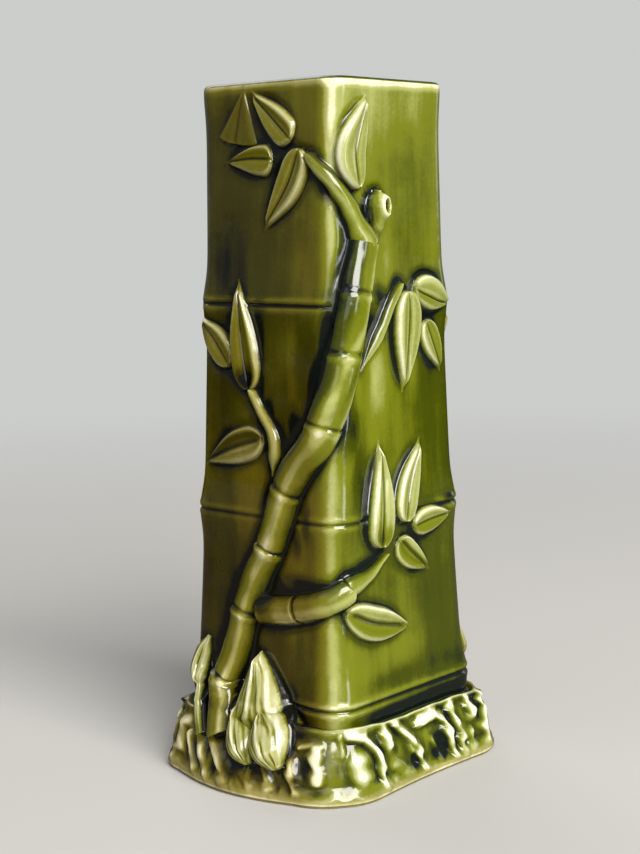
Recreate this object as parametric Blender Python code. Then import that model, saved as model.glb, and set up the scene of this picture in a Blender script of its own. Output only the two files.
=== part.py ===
import bpy
import math

# Driving dimensions of the wall, in metres
HEIGHT = 0.254
TOP_HALF_X = 0.0337
TOP_HALF_Y = 0.0314
FLARE_X = 0.0063
FLARE_Y = 0.0105
TOP_CORNER = 0.0090
FOOT_CORNER = 0.0110
WALL = 0.0045
FLOOR = 0.0060

# Node rings of the bamboo shaped wall
RING_PLACES = (0.1236, 0.386, 0.688)
RING_BULGE = 0.0011
RING_REACH = 0.0090
GROOVE_DEPTH = 0.0005
RIM_BULGE = 0.0008
RIM_REACH = 0.0120

# Rocky plinth
PLINTH_TOP = 0.0260
PLINTH_POCKET = 0.0040
PLINTH_OUT = 0.0100
PLINTH_BOW_FRONT = 0.0090
PLINTH_BOW_SIDE = -0.0018
LEDGE_SHARE = 0.42
BAND_STEP = 0.0012
LUMP_HEIGHT = 0.0024
FOOT_BAND = 0.0090
FOOT_RECESS = 0.0012

# Relief
GAP = 0.0003
EDGE = 0.0005
LEAF_RISE = 0.0021
CULM_RISE = 0.0052
BRANCH_RISE = 0.0040
TWIG_RISE = 0.0022
SHOOT_RISE = 0.0060
NODE_LIP = 0.0007
CUTTER_REACH = 0.0030
CUTTER_CLEAR = 0.0005
TURN_REACH = 0.0040
BASE_LIFT = 0.00015

# Mesh fineness
CORNER_STEPS = 6
CORNER_STEP = 0.0022
CORNER_ZONE = 0.0125
PLINTH_STEPS = 124
LEAF_STEPS = 8

COLLECTION = "bamboo_relief_vase"
CUTTERS = "cutting_shapes"

GLAZES = {
    "body_glaze": ((0.165, 0.215, 0.030), 0.16),
    "plinth_glaze": ((0.145, 0.190, 0.045), 0.18),
    "culm_glaze": ((0.300, 0.330, 0.090), 0.16),
    "leaf_glaze": ((0.340, 0.370, 0.110), 0.17),
    "twig_glaze": ((0.280, 0.300, 0.090), 0.17),
    "shoot_glaze": ((0.310, 0.350, 0.110), 0.18),
}


def clear_file():
    for item in list(bpy.data.objects):
        bpy.data.objects.remove(item, do_unlink=True)


def make_collection(name):
    group = bpy.data.collections.new(name)
    bpy.context.scene.collection.children.link(group)
    return group


def make_material(node, glaze):
    colour, rough = GLAZES[glaze]
    material = bpy.data.materials.new(node + "_" + glaze)
    material.use_nodes = True
    shader = material.node_tree.nodes["Principled BSDF"]
    shader.inputs["Base Color"].default_value = (*colour, 1.0)
    shader.inputs["Roughness"].default_value = rough
    shader.inputs["Coat Weight"].default_value = 0.5
    return material


def bell(distance, reach):
    return math.exp(-((distance / reach) ** 2))


def smooth(low, high, value):
    part = min(1.0, max(0.0, (value - low) / (high - low)))
    return part * part * (3 - 2 * part)


# The wall: its half sizes, corner radius and surface at any height
def half_sizes(z, groove=False):
    down = 1 - z / HEIGHT
    swell = RIM_BULGE * bell(z - HEIGHT, RIM_REACH)
    for place in RING_PLACES:
        distance = z - place * HEIGHT
        swell += RING_BULGE * bell(distance, RING_REACH)
        if groove:
            swell -= GROOVE_DEPTH * bell(distance, 0.0006)
    half_x = TOP_HALF_X + FLARE_X * max(down, 0.0) ** 2.6 + swell
    half_y = TOP_HALF_Y + FLARE_Y * (0.76 * down + 0.24 * down * down) + swell
    return half_x, half_y


def corner_radius(z):
    return TOP_CORNER + (FOOT_CORNER - TOP_CORNER) * (1 - z / HEIGHT)


# Length of the front and right faces, from corner middle to corner middle
def face_lengths(z):
    half_x, half_y = half_sizes(z)
    radius = corner_radius(z)
    quarter = math.pi * radius / 2
    return 2 * (half_x - radius) + quarter, 2 * (half_y - radius) + quarter


# Round the section from the front right corner, to the right when positive
def section_point(around, half_x, half_y, radius, out):
    half_corner = math.pi * radius / 4
    quarter = 2 * half_corner
    along_x = 2 * (half_x - radius)
    along_y = 2 * (half_y - radius)
    left = (around + half_corner) % (2 * (along_x + along_y) + 4 * quarter)
    inner_x = half_x - radius
    inner_y = half_y - radius
    corners = ((inner_x, -inner_y), (inner_x, inner_y), (-inner_x, inner_y), (-inner_x, -inner_y))
    for number, centre in enumerate(corners):
        start = (number - 1) * math.pi / 2
        if left <= quarter:
            angle = start + left / radius
            reach = radius + out
            return centre[0] + reach * math.cos(angle), centre[1] + reach * math.sin(angle)
        left -= quarter
        straight = along_y if number % 2 == 0 else along_x
        if left <= straight or number == 3:
            angle = start + math.pi / 2
            normal = (math.cos(angle), math.sin(angle))
            run = (-normal[1] * left, normal[0] * left)
            reach = radius + out
            return centre[0] + normal[0] * reach + run[0], centre[1] + normal[1] * reach + run[1]
        left -= straight


def wall_point(around, z, out):
    half_x, half_y = half_sizes(z)
    x, y = section_point(around, half_x, half_y, corner_radius(z), out)
    return x, y, z


# A place is a share of a face: -1 front left, 0 front right, 1 back right, 2 back left corner
def place_to_distance(place, z):
    front, right = face_lengths(z)
    turns = math.floor((place + 1) / 2)
    rest = place - 2 * turns
    return turns * (front + right) + rest * (front if rest < 0 else right)


def distance_to_place(around, z):
    front, right = face_lengths(z)
    turns = math.floor((around + front) / (front + right))
    rest = around - turns * (front + right)
    return 2 * turns + (rest / front if rest < 0 else rest / right)


# How far the plinth stands out of the wall at its foot
def plinth_reach(place):
    wrapped = (place + 1) % 2 - 1
    if wrapped < 0:
        return PLINTH_OUT + PLINTH_BOW_FRONT * math.sin(-math.pi * wrapped)
    return PLINTH_OUT + PLINTH_BOW_SIDE * math.sin(math.pi * wrapped)


def plinth_out(place, z):
    if z > PLINTH_TOP:
        share = LEDGE_SHARE * (1 - smooth(PLINTH_TOP, PLINTH_TOP + 0.0018, z))
    else:
        share = 1 - (1 - LEDGE_SHARE) * (max(z, 0.0) / PLINTH_TOP) ** 2.0
    return plinth_reach(place) * share - BAND_STEP * smooth(0.0022, 0.0055, z) * share


# Lumps of rock and root: place, half width, bottom, top and size, on the front and right faces
LUMPS = (
    (-0.955, 0.0026, 0.003, 0.018, 1.1),
    (-0.900, 0.0020, 0.002, 0.016, 1.0),
    (-0.810, 0.0020, 0.002, 0.015, 1.2),
    (-0.735, 0.0020, 0.002, 0.014, 1.0),
    (-0.655, 0.0021, 0.002, 0.014, 1.2),
    (-0.575, 0.0022, 0.002, 0.013, 1.1),
    (-0.455, 0.0021, 0.002, 0.010, 0.9),
    (-0.350, 0.0022, 0.002, 0.009, 0.9),
    (-0.120, 0.0024, 0.002, 0.012, 1.1),
    (-0.055, 0.0024, 0.002, 0.015, 1.1),
    (0.035, 0.0034, 0.002, 0.020, 1.2),
    (0.125, 0.0026, 0.003, 0.024, 1.2),
    (0.215, 0.0026, 0.002, 0.021, 1.0),
    (0.300, 0.0030, 0.003, 0.024, 1.2),
    (0.400, 0.0028, 0.002, 0.023, 1.1),
    (0.490, 0.0026, 0.002, 0.021, 0.9),
    (0.585, 0.0032, 0.003, 0.024, 1.2),
    (0.690, 0.0026, 0.002, 0.022, 1.0),
    (0.780, 0.0028, 0.003, 0.024, 1.1),
    (0.875, 0.0030, 0.002, 0.021, 1.1),
    (0.975, 0.0034, 0.003, 0.026, 1.5),
)


def lump_out(place, z):
    front, right = face_lengths(z)
    wrapped = (place + 1) % 2 - 1
    total = 0.0
    for middle, half_width, low, high, size in LUMPS:
        distance = min(abs(wrapped - middle), abs(wrapped - middle + 2), abs(wrapped - middle - 2))
        near = bell(distance * (front if middle < 0 else right), half_width)
        tall = smooth(low - 0.002, low + 0.003, z) * (1 - smooth(high - 0.005, high + 0.001, z))
        total += size * LUMP_HEIGHT * near * tall
    return total


# One closed mesh from rings of points, all rings with the same number of points
def add_loft(group, name, rings, glaze, closed_ends=True):
    count = len(rings[0])
    points = [point for ring in rings for point in ring]
    faces = []
    for row in range(len(rings) - 1):
        for step in range(count):
            following = (step + 1) % count
            low = row * count
            high = low + count
            faces.append((low + step, low + following, high + following, high + step))
    if closed_ends:
        last = (len(rings) - 1) * count
        faces.append(tuple(reversed(range(count))))
        faces.append(tuple(range(last, last + count)))
    mesh = bpy.data.meshes.new(name)
    mesh.from_pydata(points, [], faces)
    mesh.materials.append(make_material(name, glaze))
    for face in mesh.polygons:
        face.use_smooth = len(face.vertices) == 4
    item = bpy.data.objects.new(name, mesh)
    group.objects.link(item)
    return item


# Stops round the wall section: the ends and inside steps of each corner
def wall_stops(z, inset=0.0):
    half_x, half_y = half_sizes(z, groove=True)
    half_x -= inset
    half_y -= inset
    radius = max(0.002, corner_radius(z) - inset)
    corners = ((1, -1), (1, 1), (-1, 1), (-1, -1))
    ring = []
    for number, (side_x, side_y) in enumerate(corners):
        start = (number - 1) * math.pi / 2
        for step in range(CORNER_STEPS + 1):
            angle = start + math.pi / 2 * step / CORNER_STEPS
            x = side_x * (half_x - radius) + radius * math.cos(angle)
            y = side_y * (half_y - radius) + radius * math.sin(angle)
            ring.append((x, y, z))
    return ring


def add_body(group):
    low = PLINTH_POCKET + GAP
    heights = [low, 0.016, 0.024]
    for place in RING_PLACES:
        middle = place * HEIGHT
        for shift in (-0.0055, -0.0008, 0.0, 0.0008, 0.0055):
            heights.append(middle + shift)
    for share in (0.19, 0.235, 0.285, 0.335, 0.445, 0.505, 0.57, 0.63, 0.745, 0.80, 0.86, 0.915, 0.96):
        heights.append(share * HEIGHT)
    heights.sort()
    rings = [wall_stops(z) for z in heights]
    # Rounded lip of the rim
    for drop, inset in ((0.0016, 0.0), (0.0005, 0.0005), (0.0, 0.0015)):
        rings.append([(x, y, HEIGHT - drop) for x, y, _ in wall_stops(HEIGHT - drop, inset)])
    for drop, inset in ((0.0, WALL - 0.0012), (0.0006, WALL - 0.0003), (0.0020, WALL)):
        rings.append([(x, y, HEIGHT - drop) for x, y, _ in wall_stops(HEIGHT - drop, inset)])
    inner = [0.93, 0.80, 0.68, 0.57, 0.45, 0.33, 0.20, 0.12]
    for share in inner:
        rings.append(wall_stops(share * HEIGHT + 0.004, WALL))
    rings.append(wall_stops(low + FLOOR + 0.003, WALL))
    rings.append([(x, y, low + FLOOR) for x, y, _ in wall_stops(low + FLOOR, WALL + 0.003)])
    return add_loft(group, "body_shell", rings, "body_glaze")


def add_plinth(group):
    def ring(z, out_of):
        points = []
        for step in range(PLINTH_STEPS):
            place = 4.0 * (step + 0.5) / PLINTH_STEPS
            around = place_to_distance(place, z)
            points.append(wall_point(around, z, out_of(place)))
        return points

    rings = []
    for z, shift in ((FOOT_RECESS, -FOOT_BAND - 0.0006), (0.0, -FOOT_BAND)):
        rings.append([(x, y, z) for x, y, _ in ring(0.0, lambda place: plinth_reach(place) + shift)])
    rings.append([(x, y, 0.0) for x, y, _ in ring(0.0, lambda place: plinth_reach(place) - 0.0008)])
    for z in (0.0012, 0.0042, 0.0075, 0.0110, 0.0145, 0.0180, 0.0212, 0.0240):
        rings.append(ring(z, lambda place: plinth_out(place, z) + lump_out(place, z)))
    rings.append(ring(PLINTH_TOP, lambda place: plinth_out(place, PLINTH_TOP)))
    rings.append(ring(PLINTH_TOP + 0.0003, lambda place: 0.0008 + GAP))
    rings.append(ring(PLINTH_TOP - 0.0006, lambda place: GAP))
    rings.append(ring(PLINTH_POCKET, lambda place: GAP))
    return add_loft(group, "plinth", rings, "plinth_glaze")


# The point a given length along a fine line
def point_along(fine, lengths, target):
    number = 1
    while number < len(lengths) - 1 and lengths[number] < target:
        number += 1
    part = (target - lengths[number - 1]) / (lengths[number] - lengths[number - 1])
    before, after = fine[number - 1], fine[number]
    return tuple(before[k] + (after[k] - before[k]) * part for k in (0, 1))


# A smooth path through control places, as evenly spaced distances round and heights
def relief_path(places, stations):
    flat = [(place_to_distance(place, share * HEIGHT), share * HEIGHT) for place, share in places]
    if len(flat) == 2:
        middle = ((flat[0][0] + flat[1][0]) / 2, (flat[0][1] + flat[1][1]) / 2)
        flat = [flat[0], middle, flat[1]]
    ends = [tuple(2 * flat[0][k] - flat[1][k] for k in (0, 1))]
    ends += flat
    ends.append(tuple(2 * flat[-1][k] - flat[-2][k] for k in (0, 1)))
    fine = []
    for number in range(1, len(ends) - 2):
        p0, p1, p2, p3 = ends[number - 1:number + 3]
        for step in range(16):
            t = step / 16
            fine.append(tuple(
                0.5 * (2 * p1[k] + (p2[k] - p0[k]) * t
                       + (2 * p0[k] - 5 * p1[k] + 4 * p2[k] - p3[k]) * t * t
                       + (3 * p1[k] - p0[k] - 3 * p2[k] + p3[k]) * t ** 3)
                for k in (0, 1)))
    fine.append(flat[-1])
    lengths = [0.0]
    for before, after in zip(fine, fine[1:]):
        lengths.append(lengths[-1] + math.dist(before, after))
    total = lengths[-1]
    reach = min(TURN_REACH, total / 6)
    path = []
    for share in stations:
        target = share * total
        first = point_along(fine, lengths, max(0.0, target - reach))
        last = point_along(fine, lengths, min(total, target + reach))
        run = (last[0] - first[0], last[1] - first[1])
        size = math.hypot(*run)
        path.append((point_along(fine, lengths, target), (run[0] / size, run[1] / size)))
    return path, total


# Evenly spaced stations along a path, closer where it bends round a corner or steps off the plinth
def spaced(places, step, least):
    count = 120
    path, total = relief_path(places, [number / count for number in range(count + 1)])
    costs = [0.0]
    for (around, z), (run_a, run_z) in path[1:]:
        rate = 1 / step
        front, right = face_lengths(z)
        nearest = min(abs(around - corner) for corner in (-front, 0.0, right))
        if nearest < CORNER_ZONE:
            rate = max(rate, abs(run_a) / CORNER_STEP)
        if PLINTH_TOP - 0.003 < z < PLINTH_TOP + 0.008:
            rate = max(rate, abs(run_z) / CORNER_STEP)
        costs.append(costs[-1] + rate * total / count)
    pieces = max(least, math.ceil(costs[-1]))
    stations = [0.0]
    for number in range(1, pieces):
        target = costs[-1] * number / pieces
        row = next(index for index, cost in enumerate(costs) if cost >= target)
        part = (target - costs[row - 1]) / (costs[row] - costs[row - 1])
        stations.append((row - 1 + part) / count)
    stations.append(1.0)
    return stations


# The ground below a relief piece: wall above, plinth below, with a short ramp over the ledge
def ground_out(around, z):
    place = distance_to_place(around, z)
    if z <= PLINTH_TOP:
        return plinth_out(place, z)
    edge = plinth_out(place, PLINTH_TOP)
    return edge * (1 - min(1.0, max(0.0, (z - PLINTH_TOP - 0.0015) / 0.004)))


# A little more room under a piece where the wall is curved and its facets cut across
def base_lift(around, z):
    front, right = face_lengths(z)
    nearest = min(abs(around - corner) for corner in (-front, 0.0, right))
    lift = bell(nearest, CORNER_ZONE / 2)
    for place in RING_PLACES:
        lift = max(lift, bell(z - place * HEIGHT, RING_REACH))
    return BASE_LIFT * lift


# The same ground with its ledge drawn out, for the tops of pieces that cross it
def lean_out(around, z):
    return 0.92 * plinth_reach(distance_to_place(around, z)) * (1 - smooth(0.006, 0.040, z))


# A relief piece: rings across a path, each flat to the ground below and shaped on top
def add_relief(group, name, glaze, places, stations, half_width, rise, across, turn=0, lean=False, cutter=False):
    path, total = relief_path(places, stations)
    rings = []
    for share, ((around, z), (run_a, run_z)) in zip(stations, path):
        width = half_width(share)
        if cutter:
            width += CUTTER_CLEAR
            push = CUTTER_CLEAR * ((share > 0.999) - (share < 0.001))
            around += push * run_a
            z += push * run_z
        top = []
        bottom = []
        for side, height in across(share):
            a = around + side * width * run_z
            h = z - side * width * run_a
            base = ground_out(a, h) + GAP + base_lift(a, h)
            thick = EDGE + rise(share) * height
            crest = base + thick
            if lean:
                crest = max(crest, lean_out(a, h) + thick)
            if cutter:
                base -= CUTTER_REACH
                crest += CUTTER_REACH
            top.append(wall_point(a, h, crest))
            bottom.append(wall_point(a, h, base))
        rings.append(top + list(reversed(bottom)))
    if turn:
        rings = [[(-x, -y, z) for x, y, z in ring] for ring in rings]
    return add_loft(group, name, rings, glaze)


LEAF_ACROSS = ((-1.0, 0.0), (-0.52, 1.0), (0.0, 0.62), (0.52, 1.0), (1.0, 0.0))
ROUND_ACROSS = ((-1.0, 0.0), (-0.8, 0.60), (-0.42, 0.91), (0.0, 1.0), (0.42, 0.91), (0.8, 0.60), (1.0, 0.0))
TWIG_ACROSS = ((-1.0, 0.0), (-0.6, 0.80), (0.0, 1.0), (0.6, 0.80), (1.0, 0.0))


# Leaves: place and height of base, middle and tip, half width, where it is widest, rise
LEAVES = {
    "leaf_top_back": (((-0.685, 0.918), (-0.700, 0.952), (-0.606, 0.987)), 0.0088, 0.08, 0.35),
    "leaf_top_upper": (((-0.285, 0.917), (-0.416, 0.948), (-0.578, 0.986)), 0.0054, 0.28, 1.00),
    "leaf_top_lower": (((-0.215, 0.903), (-0.300, 0.852), (-0.486, 0.793)), 0.0059, 0.30, 1.15),
    "leaf_top_left": (((-0.430, 0.889), (-0.600, 0.891), (-0.789, 0.889)), 0.0052, 0.30, 0.75),
    "leaf_top_right": (((0.150, 0.848), (0.108, 0.902), (0.230, 0.974)), 0.0062, 0.42, 1.20),
    "leaf_left_front": (((-0.590, 0.567), (-0.634, 0.630), (-0.679, 0.723)), 0.0064, 0.28, 1.30),
    "leaf_left_back": (((-0.752, 0.600), (-0.870, 0.638), (-0.990, 0.668)), 0.0054, 0.35, 0.80),
    "leaf_left_low": (((-0.492, 0.497), (-0.711, 0.480), (-0.932, 0.455)), 0.0062, 0.35, 0.80),
    "leaf_right_long": (((0.575, 0.703), (0.572, 0.655), (0.535, 0.560)), 0.0070, 0.32, 1.20),
    "leaf_right_round": (((0.640, 0.7085), (0.765, 0.699), (0.925, 0.681)), 0.0060, 0.50, 1.10),
    "leaf_right_drop": (((0.735, 0.658), (0.800, 0.626), (0.878, 0.583)), 0.0048, 0.35, 0.80),
    "leaf_low_first": (((0.305, 0.343), (0.316, 0.412), (0.318, 0.495)), 0.0064, 0.22, 1.30),
    "leaf_low_second": (((0.500, 0.372), (0.548, 0.424), (0.669, 0.489)), 0.0056, 0.32, 1.00),
    "leaf_low_third": (((0.572, 0.362), (0.706, 0.368), (0.890, 0.371)), 0.0050, 0.35, 0.80),
    "leaf_low_fourth": (((0.455, 0.346), (0.545, 0.322), (0.703, 0.293)), 0.0050, 0.30, 0.75),
    "leaf_low_fifth": (((0.052, 0.262), (0.230, 0.238), (0.515, 0.219)), 0.0062, 0.45, 1.00),
}


def leaf_width(widest, size):
    def width(share):
        if share < widest:
            part = 0.30 + 0.70 * math.sin(math.pi / 2 * (share / widest)) ** 0.8
        else:
            part = max(0.0, math.cos(math.pi / 2 * (share - widest) / (1 - widest))) ** 0.85
        return max(0.0006, size * part)
    return width


def leaf_rise(amount):
    def rise(share):
        return LEAF_RISE * amount * (0.45 + 0.55 * math.sin(math.pi * min(1.0, 0.12 + 0.88 * share)))
    return rise


def add_leaf(group, name, turn):
    places, size, widest, amount = LEAVES[name]
    stations = spaced(places, 0.0060, LEAF_STEPS)
    full = ("back_" if turn else "") + name
    return add_relief(group, full, "leaf_glaze", places, stations, leaf_width(widest, size),
                      leaf_rise(amount), lambda share: LEAF_ACROSS, turn)


# Main culm: control places, half widths by height, and the heights of its nodes
CULM_PLACES = (
    (-0.617, 0.079), (-0.664, 0.109), (-0.700, 0.143), (-0.667, 0.175), (-0.620, 0.215), (-0.590, 0.250),
    (-0.510, 0.302), (-0.426, 0.341), (-0.352, 0.384), (-0.298, 0.430), (-0.215, 0.465), (-0.090, 0.503),
    (-0.015, 0.551), (0.027, 0.586), (0.054, 0.621), (0.092, 0.668), (0.126, 0.706), (0.170, 0.748), (0.192, 0.770),
)
CULM_WIDTHS = (
    (0.079, 0.0048), (0.143, 0.0056), (0.210, 0.0058), (0.250, 0.0054), (0.340, 0.0056), (0.430, 0.0062),
    (0.500, 0.0063), (0.570, 0.0056), (0.620, 0.0054), (0.670, 0.0060), (0.700, 0.0064), (0.770, 0.0062),
)
CULM_NODES = (0.146, 0.248, 0.343, 0.430, 0.522, 0.621, 0.705)
CULM_PARTS = {
    "culm_foot": (0.079, 0.146),
    "culm_lower": (0.146, 0.343),
    "culm_middle": (0.343, 0.522),
    "culm_upper": (0.522, 0.770),
}


def between(table, share):
    for (s0, v0), (s1, v1) in zip(table, table[1:]):
        if share <= s1:
            return v0 + (v1 - v0) * (share - s0) / (s1 - s0)
    return table[-1][1]


def add_culm(group, turn):
    count = 240
    path, length = relief_path(CULM_PLACES, [number / count for number in range(count + 1)])
    half_gap = 1.1 * GAP / length
    by_share = [(number / count, point[1] / HEIGHT) for number, (point, run) in enumerate(path)]
    by_height = [(height, share) for share, height in by_share]
    nodes = [between(by_height, height) for height in CULM_NODES]

    def lip(share):
        return sum(bell((share - node) * length, 0.0016) for node in nodes)

    for name, (low, high) in CULM_PARTS.items():
        start = between(by_height, low) + half_gap
        end = between(by_height, high) - half_gap
        stations = [start, end]
        stations += [share for share in spaced(CULM_PLACES, 0.0066, 30) if start < share < end]
        for node in nodes:
            for shift in (-0.0026, -0.0009, 0.0009, 0.0026):
                spot = node + shift / length
                if start + 0.003 < spot < end - 0.003:
                    stations.append(spot)
        stations.sort()
        kept = [stations[0]]
        for share in stations[1:]:
            if (share - kept[-1]) * length > 0.0011:
                kept.append(share)
        kept[-1] = stations[-1]
        if (kept[-1] - kept[-2]) * length < 0.0011:
            del kept[-2]
        add_relief(group, ("back_" if turn else "") + name, "culm_glaze", CULM_PLACES, kept,
                   lambda share: between(CULM_WIDTHS, between(by_share, share)) + NODE_LIP * lip(share),
                   lambda share: CULM_RISE + NODE_LIP * lip(share),
                   lambda share: ROUND_ACROSS, turn, lean=True)


# Branches and twigs: places, half widths at start and end, rise
TWIGS = {
    "top_twig": (((0.182, 0.7825), (0.130, 0.804), (0.078, 0.826), (0.031, 0.842), (-0.028, 0.862), (-0.120, 0.886)),
                 0.0040, 0.0022, 1.30),
    "side_branch": (((-0.442, 0.254), (-0.284, 0.259), (-0.123, 0.270), (-0.012, 0.281), (0.060, 0.291)),
                    0.0052, 0.0044, BRANCH_RISE / TWIG_RISE),
    "side_twig": (((0.092, 0.299), (0.212, 0.309), (0.300, 0.324)), 0.0036, 0.0012, 1.10),
    "left_twig": (((-0.410, 0.460), (-0.396, 0.485), (-0.419, 0.509), (-0.495, 0.534), (-0.558, 0.557)),
                  0.0026, 0.0017, 0.90),
    "right_twig": (((0.224, 0.610), (0.341, 0.650), (0.416, 0.685), (0.482, 0.705)), 0.0024, 0.0018, 0.90),
}


def add_twig(group, name, turn):
    places, first, last, amount = TWIGS[name]
    stations = spaced(places, 0.0065, 5)
    glaze = "culm_glaze" if name == "side_branch" else "twig_glaze"
    return add_relief(group, ("back_" if turn else "") + name, glaze, places, stations,
                      lambda share: first + (last - first) * share,
                      lambda share: TWIG_RISE * amount * (1 - 0.25 * share),
                      lambda share: TWIG_ACROSS, turn)


# The cut branch stub: a short round stem that ends in an oval cut face
def add_stub(group, turn):
    places = ((0.292, 0.785), (0.308, 0.802), (0.321, 0.822), (0.324, 0.843))
    shape = ((0.0, 0.0020, 0.8), (0.12, 0.0026, 1.6), (0.32, 0.0030, 1.9), (0.5, 0.0040, 2.4),
             (0.68, 0.0046, 2.5), (0.85, 0.0040, 2.1), (0.95, 0.0026, 1.5), (1.0, 0.0012, 0.9))

    def hollow(share):
        depth = 0.45 * bell((share - 0.70) * 3.6, 0.55)
        return ((-1.0, 0.0), (-0.72, 0.80), (-0.3, 1.0), (0.12, 1.0 - 0.35 * depth), (0.42, 0.92 - depth),
                (0.76, 0.72), (1.0, 0.0))

    widths = [(share, width) for share, width, _ in shape]
    rises = [(share, TWIG_RISE * high) for share, _, high in shape]
    return add_relief(group, ("back_" if turn else "") + "cut_stub", "twig_glaze", places,
                      [share for share, _, _ in shape], lambda share: between(widths, share),
                      lambda share: between(rises, share), hollow, turn)


# Bamboo shoots at the foot: a tall tip with a sheath on each side, and a small one at the left corner
SHOOTS = {
    "shoot_tip": (((-0.394, 0.092), (-0.438, 0.130), (-0.466, 0.190)), 0.0096, 0.10, 1.00),
    "shoot_left_sheath": (((-0.366, 0.052), (-0.444, 0.082), (-0.542, 0.124)), 0.0055, 0.40, 1.00),
    "shoot_right_sheath": (((-0.198, 0.052), (-0.232, 0.086), (-0.325, 0.128)), 0.0076, 0.42, 1.10),
    "small_shoot": (((-0.760, 0.069), (-0.829, 0.100), (-0.869, 0.130), (-0.901, 0.159), (-0.871, 0.196)),
                    0.0036, 0.70, 0.60),
}
SMALL_SHOOT_WIDTHS = ((0.0, 0.0018), (0.35, 0.0019), (0.5, 0.0030), (0.7, 0.0036), (0.88, 0.0026), (1.0, 0.0006))


def add_shoot(group, name, turn, cutter=False):
    places, size, widest, amount = SHOOTS[name]
    stations = spaced(places, 0.0050, 8)
    full = ("back_" if turn else "") + name + ("_cutter" if cutter else "")
    width = leaf_width(widest, size)
    if name == "small_shoot":
        width = lambda share: between(SMALL_SHOOT_WIDTHS, share)
    return add_relief(group, full, "shoot_glaze", places, stations, width,
                      lambda share: SHOOT_RISE * amount * (0.55 + 0.45 * math.sin(math.pi * (0.15 + 0.8 * share))),
                      lambda share: ROUND_ACROSS, turn, lean=True, cutter=cutter)


# The tip stands behind the two sheaths, so their grown shapes are cut from it
def cut_tip(tip, cutters):
    for cutter in cutters:
        cutter.hide_render = True
        cutter.display_type = "WIRE"
        cut = tip.modifiers.new("clear of " + cutter.name, "BOOLEAN")
        cut.operation = "DIFFERENCE"
        cut.solver = "EXACT"
        cut.object = cutter


BACK_LEFT_OUT = ("leaf_top_back", "leaf_low_fourth", "leaf_right_drop")


def build():
    clear_file()
    group = make_collection(COLLECTION)
    cutting = make_collection(CUTTERS)
    add_body(group)
    add_plinth(group)
    for turn in (0, 1):
        add_culm(group, turn)
        for name in TWIGS:
            add_twig(group, name, turn)
        add_stub(group, turn)
        for name in LEAVES:
            if not (turn and name in BACK_LEFT_OUT):
                add_leaf(group, name, turn)
        made = {name: add_shoot(group, name, turn) for name in SHOOTS}
        sheaths = ("shoot_left_sheath", "shoot_right_sheath")
        cut_tip(made["shoot_tip"], [add_shoot(cutting, name, turn, cutter=True) for name in sheaths])


build()
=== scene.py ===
import bpy
import math
import numpy as np
from functools import partial
from mathutils import Matrix, Vector


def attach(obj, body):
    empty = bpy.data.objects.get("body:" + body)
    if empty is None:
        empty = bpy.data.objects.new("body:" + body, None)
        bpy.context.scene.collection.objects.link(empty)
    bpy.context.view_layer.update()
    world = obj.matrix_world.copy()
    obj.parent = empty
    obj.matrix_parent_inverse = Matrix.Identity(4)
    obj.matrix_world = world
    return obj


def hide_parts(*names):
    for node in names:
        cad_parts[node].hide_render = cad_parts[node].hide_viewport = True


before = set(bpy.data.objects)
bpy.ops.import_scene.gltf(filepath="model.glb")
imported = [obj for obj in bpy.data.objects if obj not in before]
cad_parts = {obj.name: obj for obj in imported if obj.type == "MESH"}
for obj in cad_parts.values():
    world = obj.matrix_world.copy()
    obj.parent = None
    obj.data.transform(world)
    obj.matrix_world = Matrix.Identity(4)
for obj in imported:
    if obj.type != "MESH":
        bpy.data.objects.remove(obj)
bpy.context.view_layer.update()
print("frame loaded,", len(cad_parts), "nodes")


# Sizes of the wall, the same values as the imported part, in metres
wallSizes = {
    "Height": 0.254,
    "Top Half X": 0.0337,
    "Top Half Y": 0.0314,
    "Flare X": 0.0063,
    "Flare Y": 0.0105,
    "Top Corner": 0.009,
    "Foot Corner": 0.011,
    "Rim Bulge": 0.0008,
    "Rim Reach": 0.012,
    "Ring Bulge": 0.0011,
    "Ring Reach": 0.009,
    "Ring 1": 0.1236,
    "Ring 2": 0.386,
    "Ring 3": 0.688,
}
# how the flare of the wall grows downwards
wallCurve = {"powerX": 2.6, "straightY": 0.76, "curvedY": 0.24}
height = wallSizes["Height"]
ringNames = ("Ring 1", "Ring 2", "Ring 3")
ringHeights = [wallSizes[name] * height for name in ringNames]


def bell(distance, reach):
    return np.exp(-((distance / reach) ** 2))


def clip01(value):
    return np.clip(value, 0.0, 1.0)


# Goes from 0 at low to 1 at high, also downwards when high is below low
def smooth(low, high, value):
    part = clip01((value - low) / (high - low))
    return part * part * (3 - 2 * part)


# A place is -1 at the front left corner, 0 at the near corner, 1 at the back right, 2 at the back left
def wrap(place):
    return (place + 1) % 2 - 1


def wallHalves(z):
    down = np.clip(1 - z / height, 0.0, None)
    swell = wallSizes["Rim Bulge"] * bell(z - height, wallSizes["Rim Reach"])
    for ring in ringHeights:
        swell = swell + wallSizes["Ring Bulge"] * bell(z - ring, wallSizes["Ring Reach"])
    bow = wallCurve["straightY"] * down + wallCurve["curvedY"] * down * down
    halfX = wallSizes["Top Half X"] + wallSizes["Flare X"] * down ** wallCurve["powerX"] + swell
    return halfX, wallSizes["Top Half Y"] + wallSizes["Flare Y"] * bow + swell


def faceLengths(z):
    halfX, halfY = wallHalves(z)
    radius = wallSizes["Top Corner"] + (wallSizes["Foot Corner"] - wallSizes["Top Corner"]) * (1 - z / height)
    quarter = math.pi * radius / 2
    return 2 * (halfX - radius) + quarter, 2 * (halfY - radius) + quarter


def placeToAround(place, z):
    front, right = faceLengths(z)
    turns = np.floor((place + 1) / 2)
    rest = place - 2 * turns
    return turns * (front + right) + np.where(rest < 0, rest * front, rest * right)


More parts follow.
